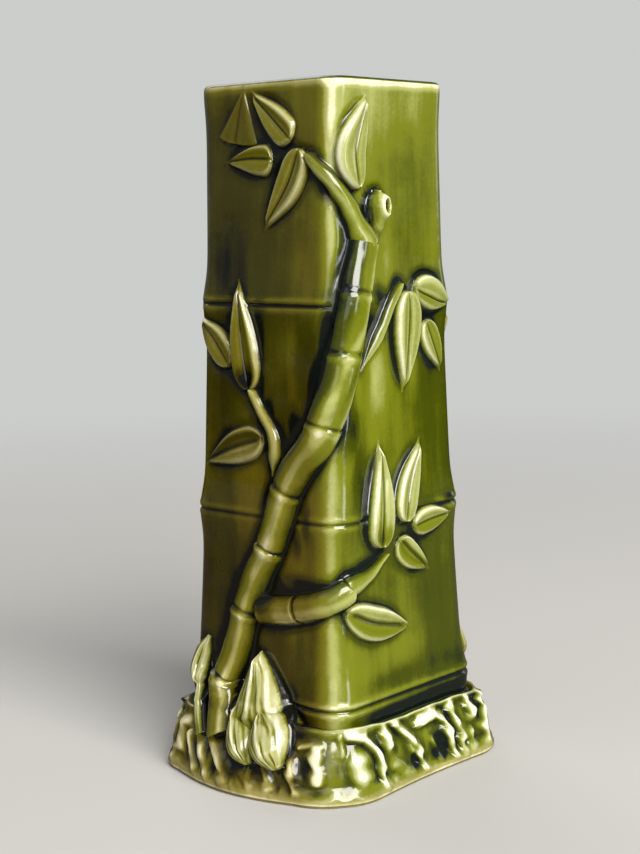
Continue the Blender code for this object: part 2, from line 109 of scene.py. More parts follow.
def aroundToPlace(around, z):
    front, right = faceLengths(z)
    turns = np.floor((around + front) / (front + right))
    rest = around - turns * (front + right)
    return 2 * turns + np.where(rest < 0, rest / front, rest / right)


# Nodes: an input is linked when its value comes from another node, and otherwise set
def setInputs(tree, node, inputs):
    for name, value in inputs.items():
        if isinstance(value, bpy.types.NodeSocket):
            tree.links.new(value, node.inputs[name])
        else:
            node.inputs[name].default_value = value


def addNode(tree, kind, inputs=None, **settings):
    node = tree.nodes.new(kind)
    for name, value in settings.items():
        setattr(node, name, value)
    setInputs(tree, node, inputs or {})
    return node


def nodeMath(tree, operation, *values):
    return addNode(tree, "ShaderNodeMath", dict(enumerate(values)), operation=operation).outputs[0]


def nodeBetween(tree, value, low, high, lowOut=0.0, highOut=1.0):
    inputs = {"Value": value, "From Min": low, "From Max": high, "To Min": lowOut, "To Max": highOut}
    return addNode(tree, "ShaderNodeMapRange", inputs, interpolation_type="SMOOTHSTEP").outputs["Result"]


def nodeBlend(tree, factor, first, second, kind="MIX"):
    inputs = {0: factor, 6: first, 7: second}
    return addNode(tree, "ShaderNodeMix", inputs, data_type="RGBA", blend_type=kind).outputs[2]


def groupSocket(tree, name, kind, value=None, direction="INPUT"):
    socket = tree.interface.new_socket(name, in_out=direction, socket_type="NodeSocket" + kind)
    if value is not None:
        socket.default_value = value


# Geometry Nodes: lays a flat pattern (distance round, height, distance out) on the wall
def buildWallTree():
    tree = bpy.data.node_groups.new("Lay on wall", "GeometryNodeTree")
    groupSocket(tree, "Geometry", "Geometry")
    for name, value in wallSizes.items():
        groupSocket(tree, name, "Float", value)
    groupSocket(tree, "Glaze", "Material")
    groupSocket(tree, "Geometry", "Geometry", direction="OUTPUT")
    size = addNode(tree, "NodeGroupInput").outputs
    do = partial(nodeMath, tree)
    add, less, times, timesAdd, over, least, most, floored = (partial(do, name) for name in (
        "ADD", "SUBTRACT", "MULTIPLY", "MULTIPLY_ADD", "DIVIDE", "MINIMUM", "MAXIMUM", "FLOORED_MODULO"))

    def bellNodes(distance, reach):
        share = over(distance, reach)
        return do("EXPONENT", times(times(share, share), -1.0))

    place = addNode(tree, "GeometryNodeInputPosition").outputs[0]
    around, z, out = addNode(tree, "ShaderNodeSeparateXYZ", {0: place}).outputs

    # half sizes of the wall at this height
    down = less(1.0, over(z, size["Height"]))
    drop = most(down, 0.0)
    swell = times(size["Rim Bulge"], bellNodes(less(z, size["Height"]), size["Rim Reach"]))
    for name in ringNames:
        away = less(z, times(size[name], size["Height"]))
        swell = add(swell, times(size["Ring Bulge"], bellNodes(away, size["Ring Reach"])))
    bow = times(drop, timesAdd(drop, wallCurve["curvedY"], wallCurve["straightY"]))
    flare = do("POWER", drop, wallCurve["powerX"])
    halfX = add(timesAdd(size["Flare X"], flare, size["Top Half X"]), swell)
    halfY = add(timesAdd(size["Flare Y"], bow, size["Top Half Y"]), swell)
    grow = times(less(size["Foot Corner"], size["Top Corner"]), down)
    radius = add(size["Top Corner"], grow)

    # one quarter of the section, from the middle of the right face to the middle of the back
    flatX = less(halfX, radius)
    flatY = less(halfY, radius)
    arc = times(radius, math.pi / 2)
    quarter = add(add(flatX, flatY), arc)
    turn = floored(less(around, add(flatY, times(arc, 0.5))), times(quarter, 4.0))
    which = do("FLOOR", over(turn, quarter))
    inside = less(turn, times(which, quarter))
    run = timesAdd(floored(which, 2.0), less(less(quarter, inside), inside), inside)
    pastFlat = less(run, flatY)
    angle = least(most(over(pastFlat, radius), 0.0), math.pi / 2)
    reach = add(radius, out)
    x = less(timesAdd(reach, do("COSINE", angle), flatX), most(less(pastFlat, arc), 0.0))
    y = timesAdd(reach, do("SINE", angle), least(run, flatY))

    # the sign of each quarter: left half, then front half
    signX = timesAdd(do("COMPARE", which, 1.5, 0.6), -2.0, 1.0)
    signY = timesAdd(do("GREATER_THAN", which, 1.5), -2.0, 1.0)
    joined = addNode(tree, "ShaderNodeCombineXYZ", {0: times(x, signX), 1: times(y, signY), 2: z}).outputs[0]
    moved = addNode(tree, "GeometryNodeSetPosition", {"Geometry": size["Geometry"], "Position": joined})
    realized = addNode(tree, "GeometryNodeRealizeInstances", {0: moved.outputs[0]})
    inputs = {"Geometry": realized.outputs[0], "Material": size["Glaze"]}
    painted = addNode(tree, "GeometryNodeSetMaterial", inputs)
    addNode(tree, "NodeGroupOutput", {0: painted.outputs[0]})
    return tree


wallTree = buildWallTree()
print("wall tree built")


# Glaze: thin and cream on the highs and where highlights are painted, dark where it pools and where shade is
# painted, and browner under the brown tint, which is partly the glaze's own and partly a painted reflection
# of a brown table with painted shade
rampNames = ("Thin", "Light", "Middle", "Deep", "Pooled")
rampDepths = (0.02, 0.24, 0.5, 0.8, 1.02)
glazeColours = {
    "Thin": (0.72, 0.7, 0.45, 1),
    "Light": (0.335, 0.358, 0.104, 1),
    "Middle": (0.143, 0.162, 0.007, 1),
    "Deep": (0.043, 0.054, 0.0012, 1),
    "Pooled": (0.004, 0.007, 0.006, 1),
    "Amber Thin": (0.58, 0.51, 0.26, 1),
    "Amber Light": (0.29, 0.222, 0.06, 1),
    "Amber Middle": (0.124, 0.085, 0.003, 1),
    "Amber Deep": (0.041, 0.027, 0.0008, 1),
    "Amber Pooled": (0.005, 0.005, 0.003, 1),
}
glazeNumbers = {
    "Base Depth": 0.56,
    "Pool Depth": 0.6,
    "Ridge Lift": 0.6,
    "Streaks": 0.3,
    "Wide Streaks": 0.3,
    "Mottle": 0.22,
    "Streak Scale": 150.0,
    "Crackle": 0.3,
    "Crackle Scale": 85.0,
    "Specks": 0.25,
    "Ripple": 0.0006,
    "Gloss": 0.14,
    "Wall Base Depth": 0.57,
    "Wall Streaks": 0.3,
    "Wall Wide Streaks": 0.42,
    "Wall Mottle": 0.22,
}
# scale, detail and roughness of each noise
glazeNoises = {
    "streaks": ("Streak Scale", 3.0, 0.55),
    "wide streaks": (48.0, 2.0, 0.5),
    "mottle": (57.0, 3.0, 0.55),
    "grain": (900.0, 2.0, 0.6),
    "amber": (38.0, 3.0, 0.5),
    "shake": (70.0, 2.0, 0.5),
    "crackled areas": (34.0, 3.0, 0.5),
    "specks": (1100.0, 1.0, 0.5),
    "clay": (260.0, 3.0, 0.5),
    "ripple": (75.0, 2.0, 0.4),
    "peel": (420.0, 1.0, 0.5),
}
glazeExtras = {
    "grainDepth": 0.1,
    "streakStretch": 0.11,
    "wideStretch": 0.26,
    "wideStart": (0.31, 0.17, 0.05),
    "shakeReach": (0.006, 0.006, 0.006),
    "crackle": (0.45, 0.46, 0.2, 1),
    "speck": (0.35, 0.33, 0.2, 1),
    "clayDark": (0.5, 0.36, 0.24, 1),
    "clayLight": (0.66, 0.52, 0.38, 1),
    "clayRough": 0.55,
    "peelHeight": 0.00003,
    "speckDepth": 0.00002,
}


def buildGlazeGroup():
    tree = bpy.data.node_groups.new("Run glaze", "ShaderNodeTree")
    for name, value in {**glazeColours, **glazeNumbers}.items():
        groupSocket(tree, name, "Color" if isinstance(value, tuple) else "Float", value)
    for name, kind in (("Color", "Color"), ("Roughness", "Float"), ("Height", "Float")):
        groupSocket(tree, name, kind, direction="OUTPUT")
    given = addNode(tree, "NodeGroupInput").outputs
    where = addNode(tree, "ShaderNodeTexCoord").outputs["Object"]
    between = partial(nodeBetween, tree)
    blend = partial(nodeBlend, tree)
    add, less, times, timesAdd = (
        partial(nodeMath, tree, name) for name in ("ADD", "SUBTRACT", "MULTIPLY", "MULTIPLY_ADD"))

    def attribute(name):
        return addNode(tree, "ShaderNodeAttribute", attribute_name=name).outputs["Fac"]

    def stretched(upright, start=(0.0, 0.0, 0.0)):
        inputs = {"Vector": where, "Scale": (1.0, 1.0, upright), "Location": start}
        return addNode(tree, "ShaderNodeMapping", inputs).outputs[0]

    def noise(name, vector=where, output="Fac"):
        scale, detail, roughness = glazeNoises[name]
        scale = given[scale] if isinstance(scale, str) else scale
        inputs = {"Vector": vector, "Scale": scale, "Detail": detail, "Roughness": roughness}
        return addNode(tree, "ShaderNodeTexNoise", inputs).outputs[output]

    # around a piece, the edge that lies on the wall changes to the look of the wall
    besidePiece = attribute("skirt")

    def towardsWall(name):
        return timesAdd(less(given["Wall " + name], given[name]), besidePiece, given[name])

    # depth of the glaze, from 0 where it is thin and where highlights are painted, to 1 where it has pooled
    # and where shade is painted
    mottle = noise("mottle")
    depth = timesAdd(attribute("poolAndShade"), given["Pool Depth"], towardsWall("Base Depth"))
    depth = less(depth, times(attribute("ridge"), given["Ridge Lift"]))
    wideStretched = stretched(glazeExtras["wideStretch"], glazeExtras["wideStart"])
    for pattern, strength in (
        (noise("streaks", stretched(glazeExtras["streakStretch"])), towardsWall("Streaks")),
        (noise("wide streaks", wideStretched), towardsWall("Wide Streaks")),
        (mottle, towardsWall("Mottle")),
        (noise("grain"), glazeExtras["grainDepth"]),
    ):
        depth = timesAdd(less(pattern, 0.5), strength, depth)

    def ramp(prefix):
        colour = given[prefix + rampNames[0]]
        for name, low, high in zip(rampNames[1:], rampDepths, rampDepths[1:]):
            colour = blend(between(depth, low, high), colour, given[prefix + name])
        return colour

    # brown tint: partly the glaze's own, partly a painted reflection of a brown table and painted shade on
    # the face turned from the light
    amber = times(attribute("amber"), between(noise("amber"), 0.25, 0.75, 0.7, 1.0))
    colour = blend(amber, ramp(""), ramp("Amber "))

    # crackle: fine crooked lines in the glaze, stronger in some areas
    inputs = {0: noise("shake", output="Color"), 1: glazeExtras["shakeReach"], 2: where}
    shaken = addNode(tree, "ShaderNodeVectorMath", inputs, operation="MULTIPLY_ADD").outputs[0]
    inputs = {"Vector": shaken, "Scale": given["Crackle Scale"]}
    cells = addNode(tree, "ShaderNodeTexVoronoi", inputs, feature="DISTANCE_TO_EDGE")
    line = between(cells.outputs["Distance"], 0.001, 0.008, 1.0, 0.0)
    line = times(times(line, between(noise("crackled areas"), 0.48, 0.64)), given["Crackle"])
    line = times(line, timesAdd(amber, -0.7, 1.0))
    line = times(line, between(depth, 0.55, 0.85, 1.0, 0.1))
    colour = blend(line, colour, blend(0.35, colour, glazeExtras["crackle"]))

    # small dark specks and pits
    speck = times(between(noise("specks"), 0.72, 0.8), given["Specks"])
    colour = blend(speck, colour, blend(1.0, colour, glazeExtras["speck"], "MULTIPLY"))

    # bare clay under the foot
    clay = attribute("clay")
    clayColour = blend(noise("clay"), glazeExtras["clayDark"], glazeExtras["clayLight"])
    colour = blend(clay, colour, clayColour)
    rough = timesAdd(between(mottle, 0.3, 0.8), 0.05, given["Gloss"])
    rough = add(rough, times(clay, glazeExtras["clayRough"]))
    bump = add(times(noise("ripple"), given["Ripple"]), times(noise("peel"), glazeExtras["peelHeight"]))
    bump = less(bump, times(speck, glazeExtras["speckDepth"]))
    addNode(tree, "NodeGroupOutput", {"Color": colour, "Roughness": rough, "Height": bump})
    return tree


glazeGroup = buildGlazeGroup()
# how brown the pieces of each glaze get on the front face, and pieces that differ from that; the brown is
# partly the glaze's own and partly painted reflection and painted shade
brownShare = {"side_branch": 1.05, "leaf_top_upper": 0.92, "leaf_top_left": 0.92,
              "culm_glaze": 0.65, "twig_glaze": 0.7, "shoot_glaze": 0.4, "leaf_glaze": 1.05}
glazeLooks = {
    "body_glaze": {
        "Base Depth": 0.57, "Crackle": 0.32, "Streaks": 0.3, "Wide Streaks": 0.42, "Specks": 0.15,
    },
    "plinth_glaze": {
        "Base Depth": 0.52, "Mottle": 0.44, "Ridge Lift": 0.55, "Crackle": 0.15, "Streaks": 0.1,
        "Ripple": 0.0007, "Gloss": 0.15, "Thin": (0.74, 0.74, 0.54, 1), "Light": (0.35, 0.375, 0.15, 1),
    },
    "culm_glaze": {
        "Base Depth": 0.5, "Mottle": 0.4, "Streaks": 0.14, "Wide Streaks": 0.22, "Crackle": 0.3,
    },
    "leaf_glaze": {
        "Base Depth": 0.35, "Mottle": 0.14, "Streaks": 0.05, "Wide Streaks": 0.12, "Crackle": 0.1,
        "Specks": 0.05, "Thin": (0.74, 0.73, 0.5, 1), "Light": (0.355, 0.375, 0.135, 1),
        "Amber Thin": (0.56, 0.52, 0.32, 1), "Amber Light": (0.28, 0.235, 0.09, 1),
    },
    "twig_glaze": {
        "Base Depth": 0.48, "Mottle": 0.26, "Streaks": 0.05, "Wide Streaks": 0.15, "Crackle": 0.15,
    },
    "shoot_glaze": {
        "Base Depth": 0.36, "Mottle": 0.3, "Streaks": 0.12, "Wide Streaks": 0.1, "Crackle": 0.1,
        "Specks": 0.05, "Wall Base Depth": 0.54, "Thin": (0.74, 0.73, 0.53, 1),
        "Light": (0.375, 0.385, 0.15, 1), "Amber Thin": (0.58, 0.55, 0.36, 1),
        "Amber Light": (0.31, 0.275, 0.115, 1),
    },
}
coatLook = {"IOR": 1.52, "Coat Weight": 0.2, "Coat Roughness": 0.03}


def buildGlaze(slotName, look):
    material = bpy.data.materials.new("look_" + slotName)
    material.use_nodes = True
    tree = material.node_tree
    group = addNode(tree, "ShaderNodeGroup", look, node_tree=glazeGroup).outputs
    bump = addNode(tree, "ShaderNodeBump", {"Strength": 1.0, "Distance": 1.0, "Height": group["Height"]})
    made = {"Base Color": group["Color"], "Roughness": group["Roughness"], "Normal": bump.outputs["Normal"]}
    setInputs(tree, tree.nodes["Principled BSDF"], {**coatLook, **made})
    return material


glazes = {slotName: buildGlaze(slotName, look) for slotName, look in glazeLooks.items()}
print("glazes built")


# The ground that relief stands on: wall above, plinth below
plinthSizes = {
    "top": 0.026,
    "out": 0.01,
    "bowFront": 0.009,
    "bowSide": -0.0018,
    "ledge": 0.42,
    "band": 0.0012,
    "steps": 640,
}


def plinthReach(place):
    across = wrap(place)
    front = plinthSizes["out"] + plinthSizes["bowFront"] * np.sin(-math.pi * across)
    side = plinthSizes["out"] + plinthSizes["bowSide"] * np.sin(math.pi * across)
    return np.where(across < 0, front, side)


def plinthOut(place, z):
    top = plinthSizes["top"]
    ledge = plinthSizes["ledge"]
    above = ledge * (1 - smooth(top, top + 0.0018, z))
    below = 1 - (1 - ledge) * (np.clip(z, 0.0, top) / top) ** 2
    share = np.where(z > top, above, below)
    return plinthReach(place) * share - plinthSizes["band"] * smooth(0.0022, 0.0055, z) * share


def groundOut(place, z):
    top = plinthSizes["top"]
    edge = plinthOut(place, np.full_like(z, top))
    ramp = edge * (1 - np.clip((z - top - 0.0015) / 0.004, 0.0, 1.0))
    return np.where(z <= top, plinthOut(place, z), ramp)


def leanOut(place, z):
    return 0.92 * plinthReach(place) * (1 - smooth(0.006, 0.044, z))


def softMax(first, second, soft):
    return 0.5 * (first + second + np.sqrt((first - second) ** 2 + soft ** 2))


# A path on the wall, given by places and shares of the height
def wallPath(places, runOn=0.012):
    flat = np.array([(placeToAround(np.float64(p), h * height), h * height) for p, h in places])
    if len(flat) == 2:
        flat = np.array([flat[0], flat.mean(0), flat[1]])
    ends = np.vstack([2 * flat[0] - flat[1], flat, 2 * flat[-1] - flat[-2]])
    t = np.arange(16)[:, None] / 16
    fine = np.vstack([0.5 * (2 * p1 + (p2 - p0) * t + (2 * p0 - 5 * p1 + 4 * p2 - p3) * t * t
                             + (3 * p1 - p0 - 3 * p2 + p3) * t ** 3)
                      for p0, p1, p2, p3 in zip(ends, ends[1:], ends[2:], ends[3:])] + [flat[-1]])
    steps = np.hypot(*np.diff(fine, axis=0).T)
    total = steps.sum()
    # run straight on past both ends
    first = (fine[0] - fine[4]) / np.hypot(*(fine[0] - fine[4]))
    last = (fine[-1] - fine[-5]) / np.hypot(*(fine[-1] - fine[-5]))
    fine = np.vstack([fine[0] + first * runOn, fine, fine[-1] + last * runOn])
    along = np.concatenate([[-runOn, 0.0], np.cumsum(steps), [total + runOn]])
    reach = min(0.004, total / 6)

    def at(s):
        spot, ahead, behind = (
            [np.interp(s + shift, along, fine[:, k]) for k in (0, 1)] for shift in (0.0, reach, -reach))
        runA, runZ = ahead[0] - behind[0], ahead[1] - behind[1]
        size = np.hypot(runA, runZ)
        return spot[0], spot[1], runA / size, runZ / size

    return at, total


# Points across a round strip, closer together near its edges
def acrossRound(count, outer=()):
    inner = np.sin(np.linspace(-math.pi / 2, math.pi / 2, count))[1:-1]
    return np.concatenate([[-value for value in outer], inner, outer])


# The edge of glaze around a strip: distance from it, height above the wall, share of the lean
skirt = {
    "distances": np.array([0.0, 0.00012, 0.0003, 0.00055, 0.00085, 0.0012, 0.0016, 0.00164]),
    "lifts": np.array([0.0006, 0.00046, 0.00028, 0.00016, 0.00011, 0.00008, 0.00006, -0.0004]),
    "flare": np.array([1.0, 0.8, 0.56, 0.34, 0.18, 0.07, 0.0, 0.0]),
    "fullEdge": 0.0008,
}


# A raised strip: its outline follows outline(s), its top follows crown(s, q, t), q from -1 to 1 across
def raisedStrip(node, slotName, places, shapes, inner, spacing, cap=(0.0, 0.0), lean=False):
    outline, crown, depth = shapes
    at, total = wallPath(places)
    offsets = skirt["distances"][1:]
    length = total + cap[0] + cap[1]
    share = np.linspace(0.0, 1.0, max(8, int(round(length / spacing))) + 1)
    # closer together near both ends
    inside = -cap[0] + (share - 0.12 * np.sin(2 * math.pi * share)) * length
    s = np.concatenate([-cap[0] - offsets[::-1], inside, total + cap[1] + offsets])
    away = np.concatenate([offsets[::-1], np.zeros(len(inside)), offsets])[:, None]
    within = np.clip(s, -cap[0], total + cap[1])
    width = outline(within, total)[:, None]
    around, z, runA, runZ = (values[:, None] for values in at(s))
    q = np.concatenate([-np.ones(len(offsets)), inner, np.ones(len(offsets))])
    out = np.concatenate([-offsets[::-1], np.zeros(len(inner)), offsets])
    t = q * width + out
    a = around + t * runZ
    h = z - t * runA
    place = aroundToPlace(a, h)
    ground = groundOut(place, h)
    distance = np.hypot(np.abs(out), away)
    isTop = distance == 0
    given = (within[:, None], np.broadcast_to(q, t.shape), t, total, width)
    top = crown(*given)
    foot = np.interp(distance, skirt["distances"], skirt["lifts"])
    edgeTall = np.clip(top.min(1) / skirt["fullEdge"], 0.08, 1.0)[:, None]
    foot = np.where(foot > 0, foot * edgeTall, foot)
    skirtShare = np.where(isTop, 0.0, smooth(0.0001, 0.0007, distance))
    deep = depth(*given) * (1 - skirtShare)
    raised = ground
    if lean:
        tall = softMax(leanOut(place, h), ground, 0.0012 * smooth(0.05, 0.035, h) + 1e-6)
        flare = np.interp(distance, skirt["distances"], skirt["flare"])
        raised = np.where(isTop, tall, ground + (tall - ground) * flare)
        deep = deep + 0.85 * skirtShare * smooth(0.048, 0.036, h)
    return {"node": node, "slot": slotName, "a": a, "z": h, "ground": raised, "wall": ground,
            "lift": np.where(isTop, top, foot), "isTop": isTop, "deep": deep, "skirt": skirtShare}


# Leaves
leafLook = {
    "rise": 0.0021,
    "edge": 0.0006,
    "crest": 0.66,
    "spacing": 0.00062,
}
# places of base, middle and tip, half width, where it is widest, rise
leaves = {
    "leaf_top_back": (((-0.698, 0.914), (-0.667, 0.952), (-0.634, 0.99)), 0.0092, 0.08, 0.24),
    "leaf_top_upper": (((-0.285, 0.917), (-0.416, 0.948), (-0.578, 0.986)), 0.0056, 0.2, 1.0),
    "leaf_top_lower": (((-0.215, 0.903), (-0.3, 0.852), (-0.486, 0.793)), 0.0059, 0.3, 1.15),
    "leaf_top_left": (((-0.43, 0.889), (-0.6, 0.891), (-0.789, 0.889)), 0.0054, 0.18, 0.75),
    "leaf_top_right": (((0.15, 0.848), (0.108, 0.902), (0.23, 0.974)), 0.0062, 0.42, 1.2),
    "leaf_left_front": (((-0.59, 0.567), (-0.634, 0.63), (-0.679, 0.723)), 0.0064, 0.28, 1.3),
    "leaf_left_back": (((-0.752, 0.6), (-0.87, 0.638), (-0.99, 0.668)), 0.0054, 0.35, 0.8),
    "leaf_left_low": (((-0.492, 0.497), (-0.711, 0.48), (-0.932, 0.455)), 0.0062, 0.35, 0.8),
    "leaf_right_long": (((0.575, 0.703), (0.572, 0.655), (0.535, 0.56)), 0.007, 0.32, 1.2),
    "leaf_right_round": (((0.64, 0.7085), (0.765, 0.699), (0.925, 0.681)), 0.006, 0.5, 1.1),
    "leaf_right_drop": (((0.735, 0.658), (0.8, 0.626), (0.878, 0.583)), 0.0048, 0.35, 0.8),
    "leaf_low_first": (((0.305, 0.343), (0.316, 0.412), (0.318, 0.495)), 0.0064, 0.22, 1.3),
    "leaf_low_second": (((0.5, 0.372), (0.548, 0.424), (0.669, 0.489)), 0.0056, 0.32, 1.0),
    "leaf_low_third": (((0.572, 0.362), (0.706, 0.368), (0.89, 0.371)), 0.005, 0.35, 0.8),
    "leaf_low_fourth": (((0.455, 0.346), (0.545, 0.322), (0.703, 0.293)), 0.005, 0.3, 0.75),
    "leaf_low_fifth": (((0.052, 0.262), (0.23, 0.238), (0.515, 0.219)), 0.0062, 0.45, 1.0),
}
# where the midrib runs (0 middle, 1 one edge), its width and depth in mm, height of each half, and the
# painted shade on each half, which a negative value turns to painted light
plainRib = (0.0, 0.28, 0.3, 1.0, 1.0, 0.0, 0.0)
leafRibs = {
    "leaf_top_back": (-0.1, 0.4, 0.04, 1.0, 1.0, 0.0, 0.0),
    "leaf_top_upper": (0.0, 0.28, 0.3, 1.0, 0.9, 0.02, 0.0),
    "leaf_top_left": (0.1, 0.4, 0.25, 1.1, 0.8, 0.0, 0.12),
    "leaf_top_right": (0.12, 0.25, 0.25, 1.15, 0.85, 0.0, 0.05),
    "leaf_left_front": (0.02, 0.28, 0.3, 1.0, 0.85, 0.0, 0.18),
    "leaf_left_low": (0.05, 0.8, 0.35, 1.15, 0.5, -0.05, 0.45),
    "leaf_right_round": (0.3, 0.3, 0.45, 1.15, 0.75, 0.0, 0.28),
    "leaf_right_drop": (0.0, 0.28, 0.3, 1.0, 0.9, 0.15, 0.0),
    "leaf_low_first": (0.0, 0.28, 0.3, 1.0, 1.0, 0.05, -0.12),
    "leaf_low_third": (0.0, 0.35, 0.35, 1.1, 0.9, 0.0, 0.26),
    "leaf_low_fourth": (-0.24, 0.7, 0.4, 1.25, 0.7, 0.0, 0.34),
    "leaf_low_fifth": (-0.05, 0.9, 0.5, 1.15, 0.68, 0.0, 0.26),
}
# leaves that are dark at the stalk, leaves that are deeper all over, and how clearly the veins show
leafDark = {"leaf_left_front": 1.2, "leaf_low_first": 0.6}
leafDeeper = {"leaf_top_back": 0.26, "leaf_top_left": 0.1}
leafVeins = {"leaf_top_back": 0.35}


def makeLeaf(node):
    places, size, widest, amount = leaves[node]
    rise = leafLook["rise"] * amount
    edge = leafLook["edge"] * min(1.0, 0.35 + 0.65 * amount)
    crest = leafLook["crest"]
    rib, ribWidth, ribDepth, firstHalf, secondHalf, firstShade, secondShade = leafRibs.get(node, plainRib)
    ribWidth, ribDepth = ribWidth / 1000, ribDepth / 1000
    dark, deeper, shown = leafDark.get(node, 0.0), leafDeeper.get(node, 0.0), leafVeins.get(node, 1.0)

    def outline(s, total):
        share = clip01(s / total)
        opening = np.sqrt(clip01(1 - (1 - clip01(share / (widest * 0.8))) ** 2))
        left = clip01((share - widest) / (1 - widest))
        closing = np.cos(math.pi / 2 * left)
        if node == "leaf_top_back":
            closing = 1 - left
        elif widest <= 0.38:
            closing = (1 - left) * (1 + 0.3 * np.sin(math.pi * left))
        return np.maximum(0.00012, size * np.where(share < widest, opening, closing))

    def crown(s, q, t, total, width):
        share = clip01(s / total)
        side = np.abs(q - rib) / np.where(q < rib, 1 + rib, 1 - rib)
        outer = 1 - 0.85 * clip01((side - crest) / (1 - crest)) ** 2.4
        valley = 1 - 0.5 * clip01(1 - side / crest) ** 1.2
        lobe = np.where(side > crest, outer, valley)
        length = 0.45 + 0.55 * np.sin(math.pi * np.minimum(1.0, 0.12 + 0.88 * share))
        narrow = smooth(0.0, 0.0016, width)
        half = 1 + (np.where(q < rib, firstHalf, secondHalf) - 1) * smooth(0.0, 0.35, side)
        groove = ribDepth * bell((q - rib) * width, ribWidth) * smooth(0.03, 0.14, share)
        groove = groove * (1 - smooth(0.82, 0.97, share)) * min(1.0, amount)
        return edge * (0.1 + 0.9 * narrow) + rise * length * lobe * half * narrow - groove * narrow

    def depth(s, q, t, total, width):
        share = clip01(s / total)
        side = np.abs(q - rib)
        line = 0.52 * bell((q - rib) * width, ribWidth) * smooth(0.02, 0.1, share)
        line = line * (1 - smooth(0.8, 0.96, share)) + 0.2 * bell((q - rib) * width, 0.0012)
        paleRim = -0.3 * bell(np.abs(q) - 0.88, 0.12) - 0.14 * bell(side - 0.24, 0.1)
        body = 0.12 * bell(side - 0.5, 0.24)
        # each half of a leaf gets its own painted shade, darker on the shaded half and lighter where the
        # value is negative
        half = np.where(q < rib, firstShade, secondShade) * smooth(0.0, 0.2, side)
        half = half * (1 - 0.9 * bell(np.abs(q) - 0.94, 0.1))
        stem = dark * bell(share - 0.07, 0.13) * (1 - q * q)
        return line * shown + (paleRim + body) * shown * smooth(0.0006, 0.0022, width) + half + stem + deeper

    inner = np.array([0, .03, .06, .1, .16, .24, .34, .45, .56, .67, .77, .85, .91, .955, .985])
    inner = np.concatenate([-inner[:0:-1], inner])
    if rib:
        inner = np.sort(np.concatenate([inner, rib + np.array([-.09, -.05, -.02, 0.0, .02, .05, .09])]))
        inner = inner[np.concatenate([[True], np.diff(inner) > 0.008])]
    return raisedStrip(node, "leaf_glaze", places, (outline, crown, depth), inner, leafLook["spacing"])


# The main stem, in four parts that meet at nodes
stemLook = {
    "rise": 0.0052,
    "edge": 0.0008,
    "lip": 0.00055,
    "lipReach": 0.0013,
    "cut": 0.0006,
    "cutReach": 0.00065,
    "cap": 0.0009,
    "spacing": 0.00065,
}
stemPlaces = (
    (-0.617, 0.079), (-0.664, 0.109), (-0.7, 0.143), (-0.667, 0.175), (-0.62, 0.215), (-0.59, 0.25),
    (-0.51, 0.302), (-0.426, 0.341), (-0.352, 0.384), (-0.298, 0.43), (-0.215, 0.465), (-0.09, 0.503),
    (-0.015, 0.551), (0.027, 0.586), (0.054, 0.621), (0.092, 0.668), (0.126, 0.706), (0.17, 0.748),
    (0.192, 0.77),
)
stemWidths = np.array([
    (0.079, 0.0048), (0.143, 0.0056), (0.21, 0.0058), (0.25, 0.0054), (0.34, 0.0056), (0.43, 0.0062),
    (0.5, 0.0063), (0.57, 0.0056), (0.62, 0.0054), (0.67, 0.006), (0.7, 0.0064), (0.77, 0.0062),
])
# height share of each node and how strongly it shows
stemNodes = (
    (0.146, 1.4), (0.248, 1.3), (0.343, 0.9), (0.43, 0.8), (0.522, 0.5), (0.621, 0.55), (0.705, 0.6),
)
# height share, where the cream band runs (-1 left, 1 right), its strength, cream at the right, dark left; the
# cream is partly thin glaze and partly painted highlight, the dark left is painted shade
stemLightAndShade = np.array([
    (0.08, 0.45, 0.6, 0.0, 0.22), (0.16, 0.38, 0.66, 0.0, 0.3), (0.25, 0.28, 0.68, 0.0, 0.3),
    (0.34, 0.18, 0.72, 0.0, 0.3), (0.43, 0.28, 0.66, 0.0, 0.42), (0.5, 0.14, 0.6, 0.16, 0.55),
    (0.56, -0.1, 0.6, 0.42, 0.6), (0.62, 0.0, 0.48, 0.44, 0.52), (0.67, 0.5, 0.5, 0.3, 0.72),
    (0.77, 0.6, 0.5, 0.38, 0.72),
])
stemParts = {
    "culm_foot": (0.079, 0.146),
    "culm_lower": (0.146, 0.343),
    "culm_middle": (0.343, 0.522),
    "culm_upper": (0.522, 0.77),
}


